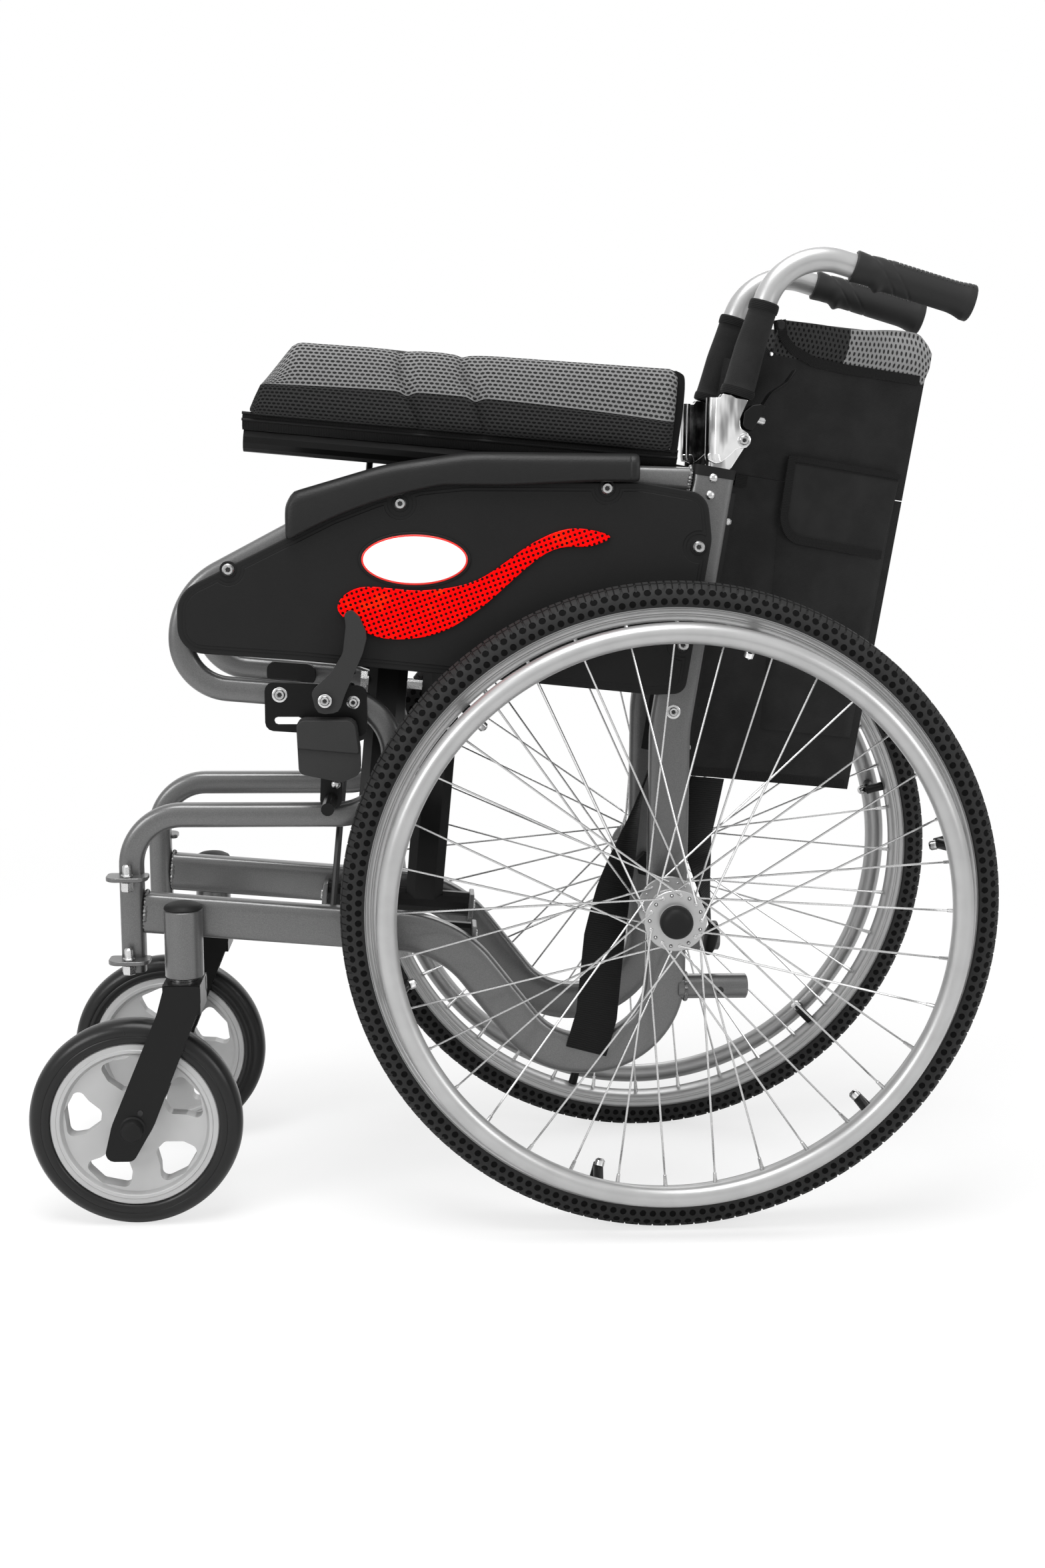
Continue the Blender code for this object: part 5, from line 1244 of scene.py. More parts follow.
pad_sizes = [(-0.3510, 0.60), (-0.3507, 0.74), (-0.3498, 0.86), (-0.3482, 0.94), (-0.3460, 0.985)]
pad_sizes += [(-0.3430 + 0.3000 * number / 60, 1.0) for number in range(61)]
pad_sizes += [(-0.0422, 1.0), (-0.0415, 0.978), (-0.0408, 1.0), (-0.0375, 0.995), (-0.0352, 0.965),
              (-0.0340, 0.91), (-0.0336, 0.82), (-0.0335, 0.70)]
pad = skin("armrest_cushion", [pad_ring(*place) for place in pad_sizes], vinyl, sharp=52.0)
for piece in both(pad, "frame", "armrest_pad", slot="soft_grip"):
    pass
print("pad faces", len(pad.data.polygons))

# %% [markdown]
# ## Seat cushions
# Folded, each half of the seat stands on its rail with its sitting face outwards: grey spacer mesh on the
# upper part and black below, stuffed with foam and drawn in by two sewn channels. The form is worked out ring
# by ring. The side swells between the channels, the crown slopes down to the front and dips where the
# channels cross it, and a wave in the two-colour seam follows the pull of the thread. A hem on the rail
# carries the cushion, and the cover's end stands up as a flat flap.

# %% Sewn channels
CHANNELS = [[(0.4735, -0.0127), (0.4987, -0.0261), (0.5144, -0.0324), (0.5383, -0.0352)],
            [(0.4706, 0.0467), (0.5011, 0.0349), (0.5136, 0.0265), (0.5383, 0.0204)]]


def channel_at(channel, up):
    """How far along the seat a sewn channel is at that height."""
    if up <= channel[0][0]:
        return channel[0][1]
    for (low, first), (high, second) in zip(channel[:-1], channel[1:]):
        if up <= high:
            return first + (second - first) * (up - low) / (high - low)
    return channel[-1][1]


def pull(along, up, width):
    """1 on the nearest channel, falling off over width."""
    near = min(abs(along - channel_at(channel, up)) for channel in CHANNELS)
    return math.exp(-(near / width) ** 2)


print("channels", len(CHANNELS))

# %% Section of the outer cushion
cushion_top = path([(-0.1690, 0.4660), (-0.1590, 0.4960), (-0.1300, 0.5384), (0.2300, 0.5455)],
                   [0.030, 0.014], 12)
CUSHION_FOOT = 0.4716
CUSHION_MIDDLE = 0.5050
FRONT_FOOT = ((0.4716, 0.60), (0.4735, 0.80), (0.4775, 0.93), (0.4830, 0.985), (0.4900, 1.0), (0.4970, 1.0))
REAR_FOOT = ((0.4950, 1.0), (0.4830, 0.99), (0.4750, 0.93), (0.4716, 0.70))


def cushion_ring(along, size):
    """One section of the outer cushion: hand is -1 on the sitting side and 1 on the rear side."""
    crest = height_at(cushion_top, along, 0.0)
    crest -= 0.0016 * pull(along, 0.54, 0.0040) + 0.0014 * pull(along, 0.54, 0.014)
    bow = 0.0050 * ((along - 0.020) / 0.18) ** 2
    seam = min(0.5036 - bow - 0.0035 * pull(along, 0.50, 0.0055), crest - 0.0006)
    share = min(1.0, (seam - CUSHION_FOOT) / 0.0285)
    ring = [(-1, CUSHION_FOOT + (up - CUSHION_FOOT) * share, fullness) for up, fullness in FRONT_FOOT]
    ring.append((-1, seam, 0.985))
    for number in range(1, 13):
        turn = math.radians(7.5 * number)
        ring.append((-1, seam + (crest - seam) * math.sin(turn) ** 0.9, max(0.0, math.cos(turn)) ** 0.72))
    for number in range(1, 12):
        turn = math.radians(90.0 - 8.0 * number)
        ring.append((1, seam + (crest - seam) * math.sin(turn) ** 0.55, max(0.0, math.cos(turn)) ** 0.35))
    ring += [(1, CUSHION_FOOT + (up - CUSHION_FOOT) * share, fullness) for up, fullness in REAR_FOOT]
    points = []
    for hand, up, fullness in ring:
        swell = 1.0 - 0.34 * pull(along, up, 0.0034) - 0.24 * pull(along, up, 0.012) if hand < 0 else 0.99
        y = -0.0750 + hand * 0.0149 * fullness * swell * (0.35 + 0.65 * size)
        points.append(gear_point(along, y, CUSHION_MIDDLE + (up - CUSHION_MIDDLE) * (0.86 + 0.14 * size)))
    return points


print("points in a section", len(cushion_ring(0.0, 1.0)))

# %% Outer cushions
places = [-0.1660 + 0.0042 * number for number in range(30)]
places += [-0.0400 + 0.0014 * number for number in range(67)]
places += [0.0580 + 0.0042 * number for number in range(37)]
stations = []
for along in places:
    near_end = min(along + 0.1668, 0.2172 - along)
    size = 1.0 if near_end > 0.010 else (1.0 - (1.0 - max(0.0, near_end) / 0.010) ** 2.4) ** (1 / 2.4)
    stations.append((along, size))
stations += [(0.2150, 0.60), (0.2165, 0.36), (0.2171, 0.0)]
cushion = skin("seat_cushion", [cushion_ring(along, size) for along, size in stations],
               [grey_mesh, black_mesh], pick=lambda row, place: 0 if 6 <= place < 30 else 1, sharp=70.0)
print("cushion faces", len(cushion.data.polygons))

# %% Hems and flaps
RAIL_Y, RAIL_UP = -0.060, 0.450
hem_section = [(-0.0727, 0.4579), (-0.0757, 0.4602), (-0.0781, 0.4650), (-0.0788, 0.4700), (-0.0780, 0.4718),
               (-0.0700, 0.4722), (-0.0668, 0.4690), (-0.0660, 0.4642)]
hem_section += bend(RAIL_Y, RAIL_UP, 0.0129, 0.0129, range(118, 147, 7))
hem_rings = [[gear_point(-0.1730 + 0.3965 * number / 80, y,
                         up + 0.0005 * math.sin(number * 0.7) * (up > 0.46))
              for y, up in hem_section]
             for number in range(81)]
hem = skin("hem", hem_rings, tape, sharp=60.0)
hem_edges = []
for middle in (0.4722, 0.4664):
    section = bend(-0.0789, middle, 0.0014, 0.0013, range(0, 360, 45))
    edge_rings = [[gear_point(-0.1735 + 0.3970 * number / 60, y, up) for y, up in section]
                  for number in range(61)]
    hem_edges.append(skin("hem_edge", edge_rings, black_plastic))
flap_line = smooth([(0.2100, 0.5400), (0.2203, 0.5413), (0.2236, 0.5330), (0.2242, 0.5100), (0.2232, 0.4850),
                    (0.2222, 0.4718), (0.2160, 0.4720), (0.2148, 0.5000)], 4)
flap_rings = [[gear_point(along, y, up) for along, up in flap_line] for y in (-0.0802, -0.0780)]
flap = skin("flap", flap_rings, tape, sharp=30.0)
for piece in both(joined("seat_cushion_outer", cushion, hem, *hem_edges, eased(flap, 0.0008)), "seat_out",
                  "seat_outer", slot="mesh_cushion"):
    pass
print("cushion rings", len(stations))

# %% Inner cushions
INNER_LEAN = math.radians(12.0)
ACROSS = Vector((0.0, 1.0, 0.0))
hang = ACROSS * math.sin(INNER_LEAN) - UP * math.cos(INNER_LEAN)
facing = ACROSS * math.cos(INNER_LEAN) + UP * math.sin(INNER_LEAN)
CREST_UP = 0.540
crest_middle = gear_point(0.0, RAIL_Y, CREST_UP)
HALF_THICK = 0.0146
MIDDLE_DEPTH = 0.0152
THIN_FROM = 0.084


def inner_ring(along, size):
    """One section of the inner cushion, which makes room for the outer one where they meet."""
    ring = []
    for turn in turns(36):
        across, deep = math.cos(turn), math.sin(turn)
        away = 0.0520 + 0.0506 * boxy(across, 3.6) * (0.80 + 0.20 * size)
        drawn = 0.16 * pull(along, 0.50, 0.0045) + 0.08 * pull(along, 0.50, 0.013)
        swell = 1.0 - drawn if deep > 0 else 1.0
        depth = MIDDLE_DEPTH + HALF_THICK * boxy(deep, 3.6) * swell * (0.3 + 0.7 * size)
        if away > THIN_FROM and depth > MIDDLE_DEPTH:
            depth -= (away - THIN_FROM) * 0.55 * (depth - MIDDLE_DEPTH) / HALF_THICK
        rise = height_at(cushion_top, along, 0.0) - CREST_UP
        if rise > 0.0:
            away += (rise + 0.0008) * max(0.0, 1.0 - away / 0.040)
        elif away < 0.004 - rise:
            away = min(0.1026, 0.0022 - rise + away * 0.25)
        ring.append(crest_middle + ALONG * along + hang * away + facing * depth)
    return ring


inner_stations = [(-0.1605, 0.0), (-0.1600, 0.35), (-0.1585, 0.65), (-0.1560, 0.88)]
inner_stations += [(-0.1520 + 0.0040 * number, 1.0) for number in range(91)]
inner_stations += [(0.2110, 0.92), (0.2135, 0.70), (0.2150, 0.40), (0.2155, 0.0)]
inner = skin("seat_cushion_inner", [inner_ring(*station) for station in inner_stations], [grey_mesh, nylon],
             pick=lambda row, place: 0 if place < 18 else 1, sharp=70.0)
for piece in both(inner, "seat_in", "seat_inner", slot="mesh_cushion"):
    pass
print("inner cushion faces", len(inner.data.polygons))

# %% [markdown]
# ## The back
# The folded back is two leaves of nylon cloth that run rearward from the posts and meet at the fold line.
# Places on it are measured along the cloth from its hinge line, by height, and through its thickness. The
# leaves get slow ripples from smooth noise, as slack cloth has. Tapes and seams are narrow ribbons laid on
# the same surface.

# %% Places on the back
LEAN = math.atan2(HINGE_FOOT[0] - POST_X, HINGE_FOOT[1] - BEND_HEIGHT)
BACK_TURN = math.radians(68.9)
HALF_GAP = 0.0003
CLOTH = 0.0024
back_up = Vector((math.sin(LEAN), 0.0, math.cos(LEAN)))
back_rear = Vector((math.cos(LEAN), 0.0, -math.sin(LEAN)))
back_foot = Vector((POST_X, FRAME_Y + 0.0135, BEND_HEIGHT))
back_out = ACROSS * math.cos(BACK_TURN) + back_rear * math.sin(BACK_TURN)
back_face = back_up.cross(back_out).normalized()


def back_point(away, z, depth=0.0):
    """A place on the folded back: along the cloth, its height, and through it (less is outwards)."""
    return back_foot + back_up * ((z - BEND_HEIGHT) / back_up.z) + back_out * away + back_face * depth


def fold_at(depth):
    """How far along the cloth the fold is at that depth."""
    return (-HALF_GAP - back_foot.y - depth * back_face.y) / back_out.y


def ripple(away, z):
    """Slow waves of slack cloth, calm at the post and at the fold."""
    calm = clamp(away / 0.05) * clamp((0.205 - away) / 0.03)
    slow = noise.noise(Vector((away * 14.0, z * 7.0, 0.3)))
    return 0.0021 * calm * (slow + 0.5 * noise.noise(Vector((away * 34.0, z * 13.0, 2.0))))


print("fold line", round(fold_at(0.0), 4), "m along the cloth")

# %% Leaves, ribbons and lines


def leaf(name, low, high, start, finishes, puff=None, pick=None, step=0.0085, top=None):
    """One leaf of the back between two heights, as a thin closed skin."""
    rings = []
    rows = max(2, int((high - low) / step))
    for row in range(rows + 1):
        ring = []
        for side in (-1, 1):
            for number in range(37):
                share = number / 36 if side < 0 else 1.0 - number / 36
                away = start + (fold_at(side * CLOTH) - start) * share
                upper = high + (top(away) if top else 0.0)
                z = low + (upper - low) * row / rows
                depth = side * (CLOTH + (puff(away, z) if puff else 0.0)) + ripple(away, z)
                ring.append(back_point(min(away, fold_at(depth)), z, depth))
        rings.append(ring)
    return skin(name, rings, finishes, pick=pick, sharp=60.0)


def ribbon(name, line, wide, thick, finish):
    """A flat band along a line that lies on the back."""
    rings = []
    for number, point in enumerate(line):
        way = (line[min(len(line) - 1, number + 1)] - line[max(0, number - 1)]).normalized()
        across = back_face.cross(way).normalized() * wide / 2
        rings.append(band_ring(point, across, way.cross(across).normalized() * thick / 2))
    return skin(name, rings, finish, sharp=60.0)


def back_line(points, depth, radius=0.0):
    """A rounded line on the back, as places in the room."""
    flat_line = path(points, [radius] * (len(points) - 2), 10)
    dense = []
    for first, second in zip(flat_line[:-1], flat_line[1:]):
        parts = max(1, int((second - first).length / 0.006))
        dense += [first.lerp(second, part / parts) for part in range(parts)]
    dense.append(flat_line[-1])
    return [back_point(point.x, point.y, depth + ripple(point.x, point.y)) for point in dense]


print("helpers for the back ready")

# %% Lower leaves
lower_leaf = leaf("leaf", 0.4255, 0.7075, -0.0010, nylon)
hem_tape = ribbon("hem", back_line([(0.004, 0.4300), (0.2060, 0.4300)], -0.0027), 0.0085, 0.0012, tape)
batten = ribbon("batten", back_line([(0.0165, 0.4300), (0.0190, 0.5600), (0.0195, 0.6900)], -0.0030), 0.0150,
                0.0022, black_plastic)
rivets = []
for away, z in ((0.0240, 0.6637), (0.0235, 0.5560), (0.0225, 0.4520)):
    spot = back_point(away, z, -0.0036)
    rivets.append(rod("rivet", spot, spot - back_face * 0.0016, 0.0036, steel, 20, end_radius=0.0026))
tab = ribbon("tab", back_line([(0.0300, 0.6970), (0.0300, 0.7072)], -0.0040), 0.0130, 0.0022, tape)
both(joined("back_leaf", lower_leaf, hem_tape, batten, tab, *rivets), "back", "back_lower", "back_edge",
     slot="cloth")
print("back leaf joined")

# %% The top of the back, above the cane joint


def top_shape(away):
    """How far the top edge stands above or below its mean height."""
    rise = clamp((away - 0.105) / 0.085)
    droop = max(0.0, (away - 0.192) / 0.014) ** 2
    return 0.0022 * math.sin((away - 0.060) * 34.0) + 0.0145 * rise * rise * (3 - 2 * rise) - 0.008 * droop


def roll(away, z):
    """The padded roll above the binding."""
    rise = clamp((z - 0.822) / 0.010) * clamp((away - 0.045) / 0.03)
    return 0.0042 * rise * math.sqrt(max(0.0, 1.0 - ((z - 0.838) / 0.0185) ** 2))


def dark_part(row, place):
    """1 on the half of the roll nearer the post, on both faces."""
    return int((place if place < 37 else 73 - place) < 16)


upper_leaf = leaf("leaf", 0.7083, 0.8180, 0.0155, nylon)
mesh_roll = leaf("roll", 0.8180, 0.8505, 0.0430, [back_grey, back_black], roll, dark_part, 0.0016, top_shape)
binding_line = back_line([(0.0430, 0.8490), (0.0480, 0.8340), (0.0610, 0.8255), (0.0850, 0.8185),
                          (0.1200, 0.8178), (0.2050, 0.8210)],
                         -0.0034, 0.012)
inner_line = [point + back_face * 0.0068 for point in binding_line]
binding, inner_binding = (ribbon("binding", line, 0.0088, 0.0014, tape)
                          for line in (binding_line, inner_line))
upper_snap = back_point(0.0425, 0.8440, -0.0046)
snaps = [rod("snap", upper_snap, upper_snap - back_face * 0.0022, 0.0052, black_plastic, 24,
             end_radius=0.0042),
         rod("snap", back_point(0.0391, 0.8179, -0.003), back_point(0.0391, 0.8179, -0.0045), 0.0020, steel,
             12)]
for piece in both(joined("back_top", upper_leaf, mesh_roll, binding, inner_binding, *snaps), "back",
                  "back_upper", slot="cloth"):
    side = piece.name.split("_")[0]
    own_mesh(piece)
print("back top joined")

# %% [markdown]
# ## The pocket
# A flat pocket is sewn to the rear face of the left leaf, with a bound flap over its mouth. The bag bulges a
# little from its sewn edges, and the flap lies on it with one rounded corner.

# %% Pocket
POCKET_LOW, POCKET_HIGH = 0.4765, 0.7180
POCKET_START, POCKET_END = 0.0775, 0.2035
FLAP_DEPTH = -0.0078


def pouch(away, z):
    """How far the bag stands off the cloth."""
    edges = min((away - POCKET_START) / 0.020, (0.2030 - away) / 0.012, (z - POCKET_LOW) / 0.020, 1.0)
    return 0.0010 + 0.0034 * max(0.0, edges) ** 0.6


bag_rings = []
for row in range(34):
    z = POCKET_LOW + (POCKET_HIGH - POCKET_LOW) * row / 33
    start = POCKET_START + 0.0222 * max(0.0, 0.6765 - z) / 0.2
    front, rear = [], []
    for number in range(25):
        away = start + (POCKET_END - start) * number / 24
        bulge = pouch(away, z) * min(1.0, number / 1.5, (24 - number) / 1.5)
        front.append(back_point(away, z, -0.0027 - bulge + ripple(away, z)))
        rear.append(back_point(away, z, -0.0025 + ripple(away, z)))
    bag_rings.append(front + rear[::-1])
bag = skin("bag", bag_rings, nylon, sharp=60.0)
flap_corners = [(0.0745, 0.7318), (0.0770, 0.6545), (0.1970, 0.6515), (0.2005, 0.7318)]
flap_outline = outline(flap_corners, [0.003, 0.0270, 0.002, 0.002], 14)
flap_rings = [[back_point(point.x, point.y, depth) for point in flap_outline]
              for depth in (FLAP_DEPTH, FLAP_DEPTH + 0.0018)]
flap_cloth = eased(skin("flap", flap_rings, nylon, sharp=30.0), 0.0007)
bound = path([(0.0778, 0.7318), (0.0806, 0.6578), (0.1960, 0.6550)], [0.0240], 16)
bound_line = [back_point(point.x, point.y, FLAP_DEPTH - 0.0003) for point in bound]
edge_tape = ribbon("edge_tape", bound_line, 0.0085, 0.0014, tape)
mouth = [back_point(away, 0.7300, FLAP_DEPTH - 0.0002) for away in (0.0750, 0.1100, 0.1500, 0.2000)]
mouth_tape = ribbon("mouth_tape", mouth, 0.0052, 0.0014, tape)
stitch_line = [back_point(away, 0.7262, FLAP_DEPTH - 0.0001) for away in (0.0830, 0.1200, 0.1600, 0.1995)]
seam = ribbon("seam", stitch_line, 0.0009, 0.0010, tape)
pocket = joined("rear_pocket", bag, flap_cloth, edge_tape, mouth_tape, seam)
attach(pocket, "left_back")
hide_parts("back_pocket")
print("pocket faces", len(pocket.data.polygons))

# %% [markdown]
# ## Push canes and grips
# A cane is a bent tube in a cloth sleeve. Its grip is moulded rubber: ribs across the top for the palm, a
# stop for the finger underneath, two shallow grooves that wind round its front, and a flared end. Those are
# all functions of the place along the grip and round it, so the grip is one skin whose radius follows their
# sum.

# %% Canes
CANE_WAY = Vector((0.0572, 0.1985)).normalized()
GRIP_WAY = Vector((CANE_WAY.y, -CANE_WAY.x))


def on_cane(rise):
    """The middle of the cane at that height."""
    return Vector(HINGE_FOOT) + CANE_WAY * ((rise - HINGE_FOOT[1]) / CANE_WAY.y)


cane_corner = Vector((0.0944, 0.9070))
cane_line = path([on_cane(0.7757), cane_corner, cane_corner + GRIP_WAY * 0.1260], [0.054], 28)
cane = sweep("cane", cane_line, soft_box(0.022, 0.022, 2.0, 40), alloy)


def sleeve_ring(rise, radius):
    """One ring of the cloth sleeve, with soft folds near its middle."""
    ring = []
    for turn in turns(44):
        fold = 0.0006 * math.sin(3 * turn + rise * 60.0) + 0.0004 * math.sin(5 * turn - rise * 40.0)
        out = radius + fold * max(0.0, 1.0 - abs(rise - 0.815) / 0.045)
        spot = on_cane(rise) + GRIP_WAY * (out * math.cos(turn))
        ring.append(Vector((spot.x, FRAME_Y + out * 0.96 * math.sin(turn), spot.y)))
    return ring


sleeve_line = [(0.7735, 0.0120), (0.7732, 0.0146), (0.7740, 0.0152), (0.7800, 0.0153), (0.7806, 0.0147)]
sleeve_line += [(0.7806 + 0.0666 * number / 14, 0.0146 - 0.0019 * number / 14) for number in range(1, 14)]
sleeve_line += [(0.8474, 0.0127), (0.8480, 0.0134), (0.8554, 0.0132), (0.8562, 0.0126), (0.8560, 0.0113)]
sleeve = skin("sleeve", [sleeve_ring(*place) for place in sleeve_line], nylon, caps=False, sharp=50.0)
hems = []
for low, high, radius in ((0.7740, 0.7802, 0.0154), (0.8480, 0.8552, 0.01345)):
    rings = [sleeve_ring(low + (high - low) * number / 3, radius + extra)
             for number, extra in enumerate((0.0, 0.0003, 0.0003, 0.0))]
    hems.append(skin("sleeve_hem", rings, tape, caps=False, sharp=50.0))
both(joined("bent_cane", cane, sleeve, *hems), "cane", "upper_cane", slot="bright_alloy")
print("cane points", len(cane_line))

# %% Grips
GRIP_START = cane_corner + GRIP_WAY * 0.0668


def grip_radius(along, turn):
    """The grip's radius; turn is 0 at the top and goes round."""
    radius = 0.0142 - 0.0008 * math.exp(-((along - 0.012) / 0.007) ** 2)
    below = max(0.0, -math.cos(turn))
    radius += 0.0030 * math.exp(-((along - 0.0255) / 0.0036) ** 2) * below ** 1.5
    radius -= 0.0006 * math.exp(-((along - 0.0185) / 0.0030) ** 2) * below
    flare = max(0.0, (along - 0.0905) / 0.0165)
    radius += 0.0030 * min(1.0, flare) ** 2 * (0.45 + 0.55 * below)
    aside = abs(math.degrees(math.atan2(math.sin(turn), math.cos(turn))))
    if 0.0370 < along < 0.1105 and aside < 44.0:
        across = (along - 0.0370) / 0.00408 % 1.0
        radius += 0.0004 - 0.0024 * (0.32 < across < 0.68)
    elif 0.0330 < along and aside < 50.0:
        radius += 0.0004
    for start in (0.0125, 0.0270):
        groove = start + 0.030 * (1.0 - math.cos(turn)) / 2
        radius -= 0.0007 * math.exp(-((along - groove) / 0.0011) ** 2)
    return radius


def grip_ring(along, shrink):
    ring = []
    middle = GRIP_START + GRIP_WAY * along
    for turn in turns(72):
        radius = grip_radius(along, turn) - shrink
        spot = middle + CANE_WAY * (radius * math.cos(turn))
        ring.append(Vector((spot.x, FRAME_Y + radius * math.sin(turn), spot.y)))
    return ring


grip_places = [(0.0, 0.0029), (0.0, 0.0012), (0.0004, 0.0004), (0.0011, 0.0)]
grip_places += [(0.0018 + 0.00068 * number, 0.0) for number in range(163)]
grip_places += [(0.1128, 0.0006), (0.1135, 0.0018), (0.1136, 0.0060), (0.1128, 0.0068)]
grip = skin("hand_grip", [grip_ring(*place) for place in grip_places], soft_grip, sharp=42.0)
plug_end = GRIP_START + GRIP_WAY * 0.1131
mould_mark = rod("end_plug", (plug_end.x - GRIP_WAY.x * 0.002, FRAME_Y, plug_end.y - GRIP_WAY.y * 0.002),
                 (plug_end.x, FRAME_Y, plug_end.y), 0.0042, soft_grip, 24)
both(joined("palm_grip", grip, mould_mark), "cane", "push_grip", slot="soft_grip")
print("grip rings", len(grip_places))

# %% [markdown]
# ## Cane joints
# A chromed channel carries the cane. It is folded from one sheet: a round front edge and two cheeks that
# reach back to the rivet they turn on. Behind it a black catch with a long blade holds the cane up.

# %% Hinges and catches
cheek_line = [(0.0345, 0.7718), (0.0340, 0.7180), (0.0371, 0.7136), (0.0423, 0.7142), (0.0494, 0.7199),
              (0.0560, 0.7262), (0.0655, 0.7275), (0.0692, 0.7344), (0.0655, 0.7410), (0.0590, 0.7450),
              (0.0585, 0.7530), (0.0640, 0.7660), (0.0660, 0.7702), (0.0545, 0.7718), (0.0500, 0.7745),
              (0.0423, 0.7752), (0.0400, 0.7718)]
cheek_radii = [0, 0.003, 0.003, 0.003, 0.008, 0.006, 0.004, 0.0055, 0.004, 0.005, 0.010, 0.01, 0.0015, 0.001,
               0.001, 0.001, 0.001]
cheek_outline = outline(cheek_line, cheek_radii, 6)
catch_outline = outline([(0.0607, 0.7470), (0.0618, 0.7590), (0.0692, 0.7650), (0.0770, 0.7662),
                         (0.0806, 0.7640), (0.0762, 0.7536), (0.0690, 0.7424), (0.0640, 0.7440)],
                        [0.003, 0.004, 0.004, 0.002, 0.001, 0.006, 0.002, 0.002], 6)
lip_outline = outline([(0.0290, 0.7225), (0.0302, 0.7160), (0.0371, 0.7128), (0.0425, 0.7138),
                       (0.0400, 0.7225)],
                      0.002, 5)


def cheeks(name, line, near, far, finish, edge, steps=2):
    """Two equal plates, one on each side of the cane, between two distances from its middle."""
    return [plate(name, line, FRAME_Y + low, FRAME_Y + high, finish, edge, steps)
            for low, high in ((-far, -near), (near, far))]


hinge_parts = cheeks("cheek", cheek_outline, 0.0064, 0.0094, chrome, 0.0007, 3)
front_edge = [(0.0352, 0.7165), (0.0343, 0.7200), (0.0343, 0.7400), (0.0343, 0.7650), (0.0345, 0.7718)]
hinge_parts.append(sweep("front", front_edge, soft_box(0.0112, 0.0196, 2.6, 36), chrome))
hinge_parts.append(plate("lip", lip_outline, FRAME_Y - 0.0096, FRAME_Y + 0.0096, chrome, 0.0010, 3))
hinge_parts.append(screw((0.0625, FRAME_Y - 0.0094, 0.7340), 0.0043, 0.0060))
hinge_parts.append(rod("pin", (0.0715, FRAME_Y - 0.0040, 0.7535), (0.0818, FRAME_Y - 0.0040, 0.7505), 0.0040,
                       steel, 24, rounding=0.0016))
both(joined("cane_joint", *hinge_parts), "cane", "back_hinge", slot="chrome")
catch_parts = cheeks("body", catch_outline, 0.0096, 0.0108, black_metal, 0.0005)
blade_line = path([(0.0688, 0.7425), (0.0790, 0.7640), (0.0868, 0.7762), (0.1005, 0.7850), (0.1085, 0.7962)],
                  [0.010, 0.012, 0.010], 8)
catch_parts.append(sweep("blade", blade_line, soft_box(0.0019, 0.0196, 6.0, 24), black_metal))
both(joined("catch", *catch_parts), "release", "release_lever", slot="black_metal")
print("hinge parts", len(hinge_parts))

# %% [markdown]
# ## Wheel locks
# The lock's plate, lever, cover and shoe keep their CAD shapes, and get softened edges. Bolts and rivets are
# added where the real ones show.

# %% Locks, seat guides and the cross
keep(["brake_bracket", "brake_shoe"], black_metal, 0.0010)
keep(["brake_lever", "brake_cover"], matt_plastic, 0.0018)
keep(["seat_guide"], black_plastic, 0.0010)
keep(["cross_link"], black_metal, 0.0004)
dress("cross_pivot_bolt", steel, 0.0004)
lock_face = FRAME_Y - TUBE_DEPTH / 2 - HALF_GAP - 0.004
lock_parts = [screw((-0.3594, lock_face, 0.5031), 0.0052, 0.0070),
              screw((-0.2925, lock_face, 0.4960), 0.0046, 0.0062),
              screw((-0.3165, -0.1306, 0.5010), 0.0046, 0.0062)]
cover_top = outline([(-0.3421, 0.4570), (-0.2865, 0.4520), (-0.2865, 0.4560), (-0.2901, 0.4828),
                     (-0.3426, 0.4828)],
                    [0.001, 0.002, 0.0, 0.009, 0.007], 6)
lock_parts.append(plate("cover_top", cover_top, -0.1272, -0.1249, matt_plastic, 0.0018, 3))
both(joined("lock_screws", *lock_parts), "frame")
shoe_rivet = lathe("shoe_rivet", [(0.0, -0.0020), (0.0022, -0.0018), (0.0040, -0.0008), (0.0044, 0.0)],
                   (-0.3088, -0.1076, 0.4208), steel, 24, open_profile=True)
both(shoe_rivet, "shoe")
print("lock parts", len(lock_parts))

# %% [markdown]
# ## Straps
# The waist belt hangs loose from both sides of the left half. It is ribbed webbing, so each length is a
# ribbon led through a few places, turning as a hanging strap turns. One end carries the buckle.

# %% Straps


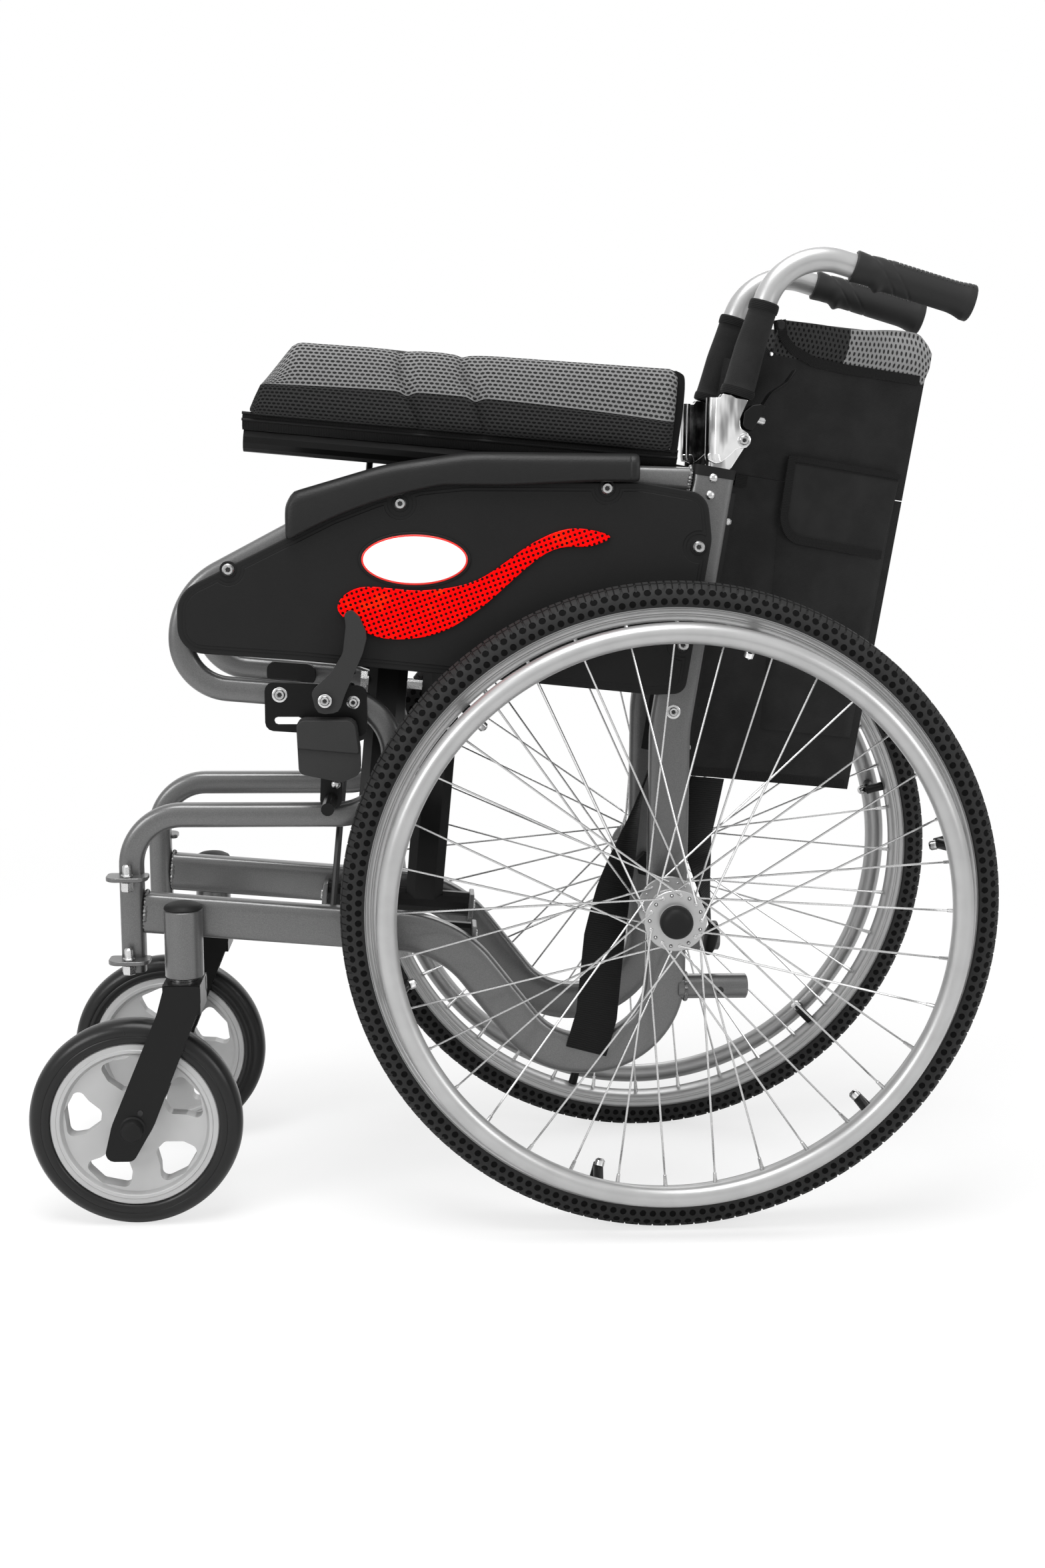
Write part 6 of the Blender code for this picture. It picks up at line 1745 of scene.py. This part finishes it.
def strap(name, stations):
    """Webbing led through places; each has a middle, a direction across it and a half width."""
    rings = []
    steps, thick = 12, 0.0018
    stations = [(Vector(middle), Vector(across), half) for middle, across, half in stations]
    for number in range((len(stations) - 1) * steps + 1):
        index = min(number // steps, len(stations) - 2)
        share = number / steps - index
        first, second = stations[index], stations[index + 1]
        before, after = stations[max(0, index - 1)], stations[min(len(stations) - 1, index + 2)]
        way = (second[0] - first[0]).normalized()
        if before is not first:
            way = way.lerp((first[0] - before[0]).normalized(), max(0.0, 0.5 - share))
        if after is not second:
            way = way.lerp((after[0] - second[0]).normalized(), max(0.0, share - 0.5))
        way.normalize()
        across = first[1].normalized().lerp(second[1].normalized(), share)
        across = (across - way * across.dot(way)).normalized()
        half = first[2] + (second[2] - first[2]) * share
        out = way.cross(across).normalized() * thick / 2
        rings.append(band_ring(first[0].lerp(second[0], share), across * half, out))
    return skin(name, rings, webbing, sharp=60.0)


print("webbing ready")

# %% Front strap
strap_in = FRAME_Y + TUBE_DEPTH / 2 + HALF_GAP + 0.019
strap_out = FRAME_Y - TUBE_DEPTH / 2 - HALF_GAP - 0.0009
front_strap = strap("belt_front", [
    ((-0.0085, strap_in, 0.4480), (0.0, 1.0, 0.0), 0.019),
    ((-0.0250, strap_in, 0.3900), (0.30, 0.95, 0.0), 0.019),
    ((-0.0470, -0.0640, 0.3100), (0.90, 0.40, -0.10), 0.019),
    ((-0.0560, -0.0725, 0.2650), (1.0, 0.05, -0.20), 0.020),
    ((-0.0650, strap_out, 0.1950), (1.0, 0.0, -0.45), 0.020),
    ((-0.0745, strap_out, 0.1600), (1.0, 0.0, -0.55), 0.020)])
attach(front_strap, "frame_left")
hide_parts("strap_front")
print("front strap made")

# %% Rear strap and buckle
strap_hem = back_point(0.052, 0.4250) - back_up * HALF_GAP
rear_strap = strap("strap", [
    (strap_hem, back_out, 0.019),
    (strap_hem - back_up * 0.060, (0.90, 0.60, 0.0), 0.019),
    (strap_hem + Vector((0.0070, 0.0040, -0.1450)), (0.15, 1.0, 0.0), 0.012)])
buckle_middle = strap_hem + Vector((0.0080, 0.0040, -0.1590))
buckle_rings = []
for number in range(13):
    share = number / 12
    wide = 0.0062 * (1.0 - 0.55 * abs(2 * share - 1.0) ** 3)
    deep = 0.0105 * (1.0 - 0.35 * abs(2 * share - 1.0) ** 4)
    place = buckle_middle + Vector((-0.003 + 0.006 * (1.0 - share), 0.0, 0.0155 - 0.0310 * share))
    buckle_rings.append([place + Vector((a * wide, b * deep, 0.0)) for a, b in soft_box(2.0, 2.0, 3.0, 24)])
buckle = skin("buckle", buckle_rings, black_plastic, sharp=50.0)
belt_rear = joined("belt_rear", rear_strap, buckle)
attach(belt_rear, "left_back")
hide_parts("strap_rear")
print("belt lengths made")
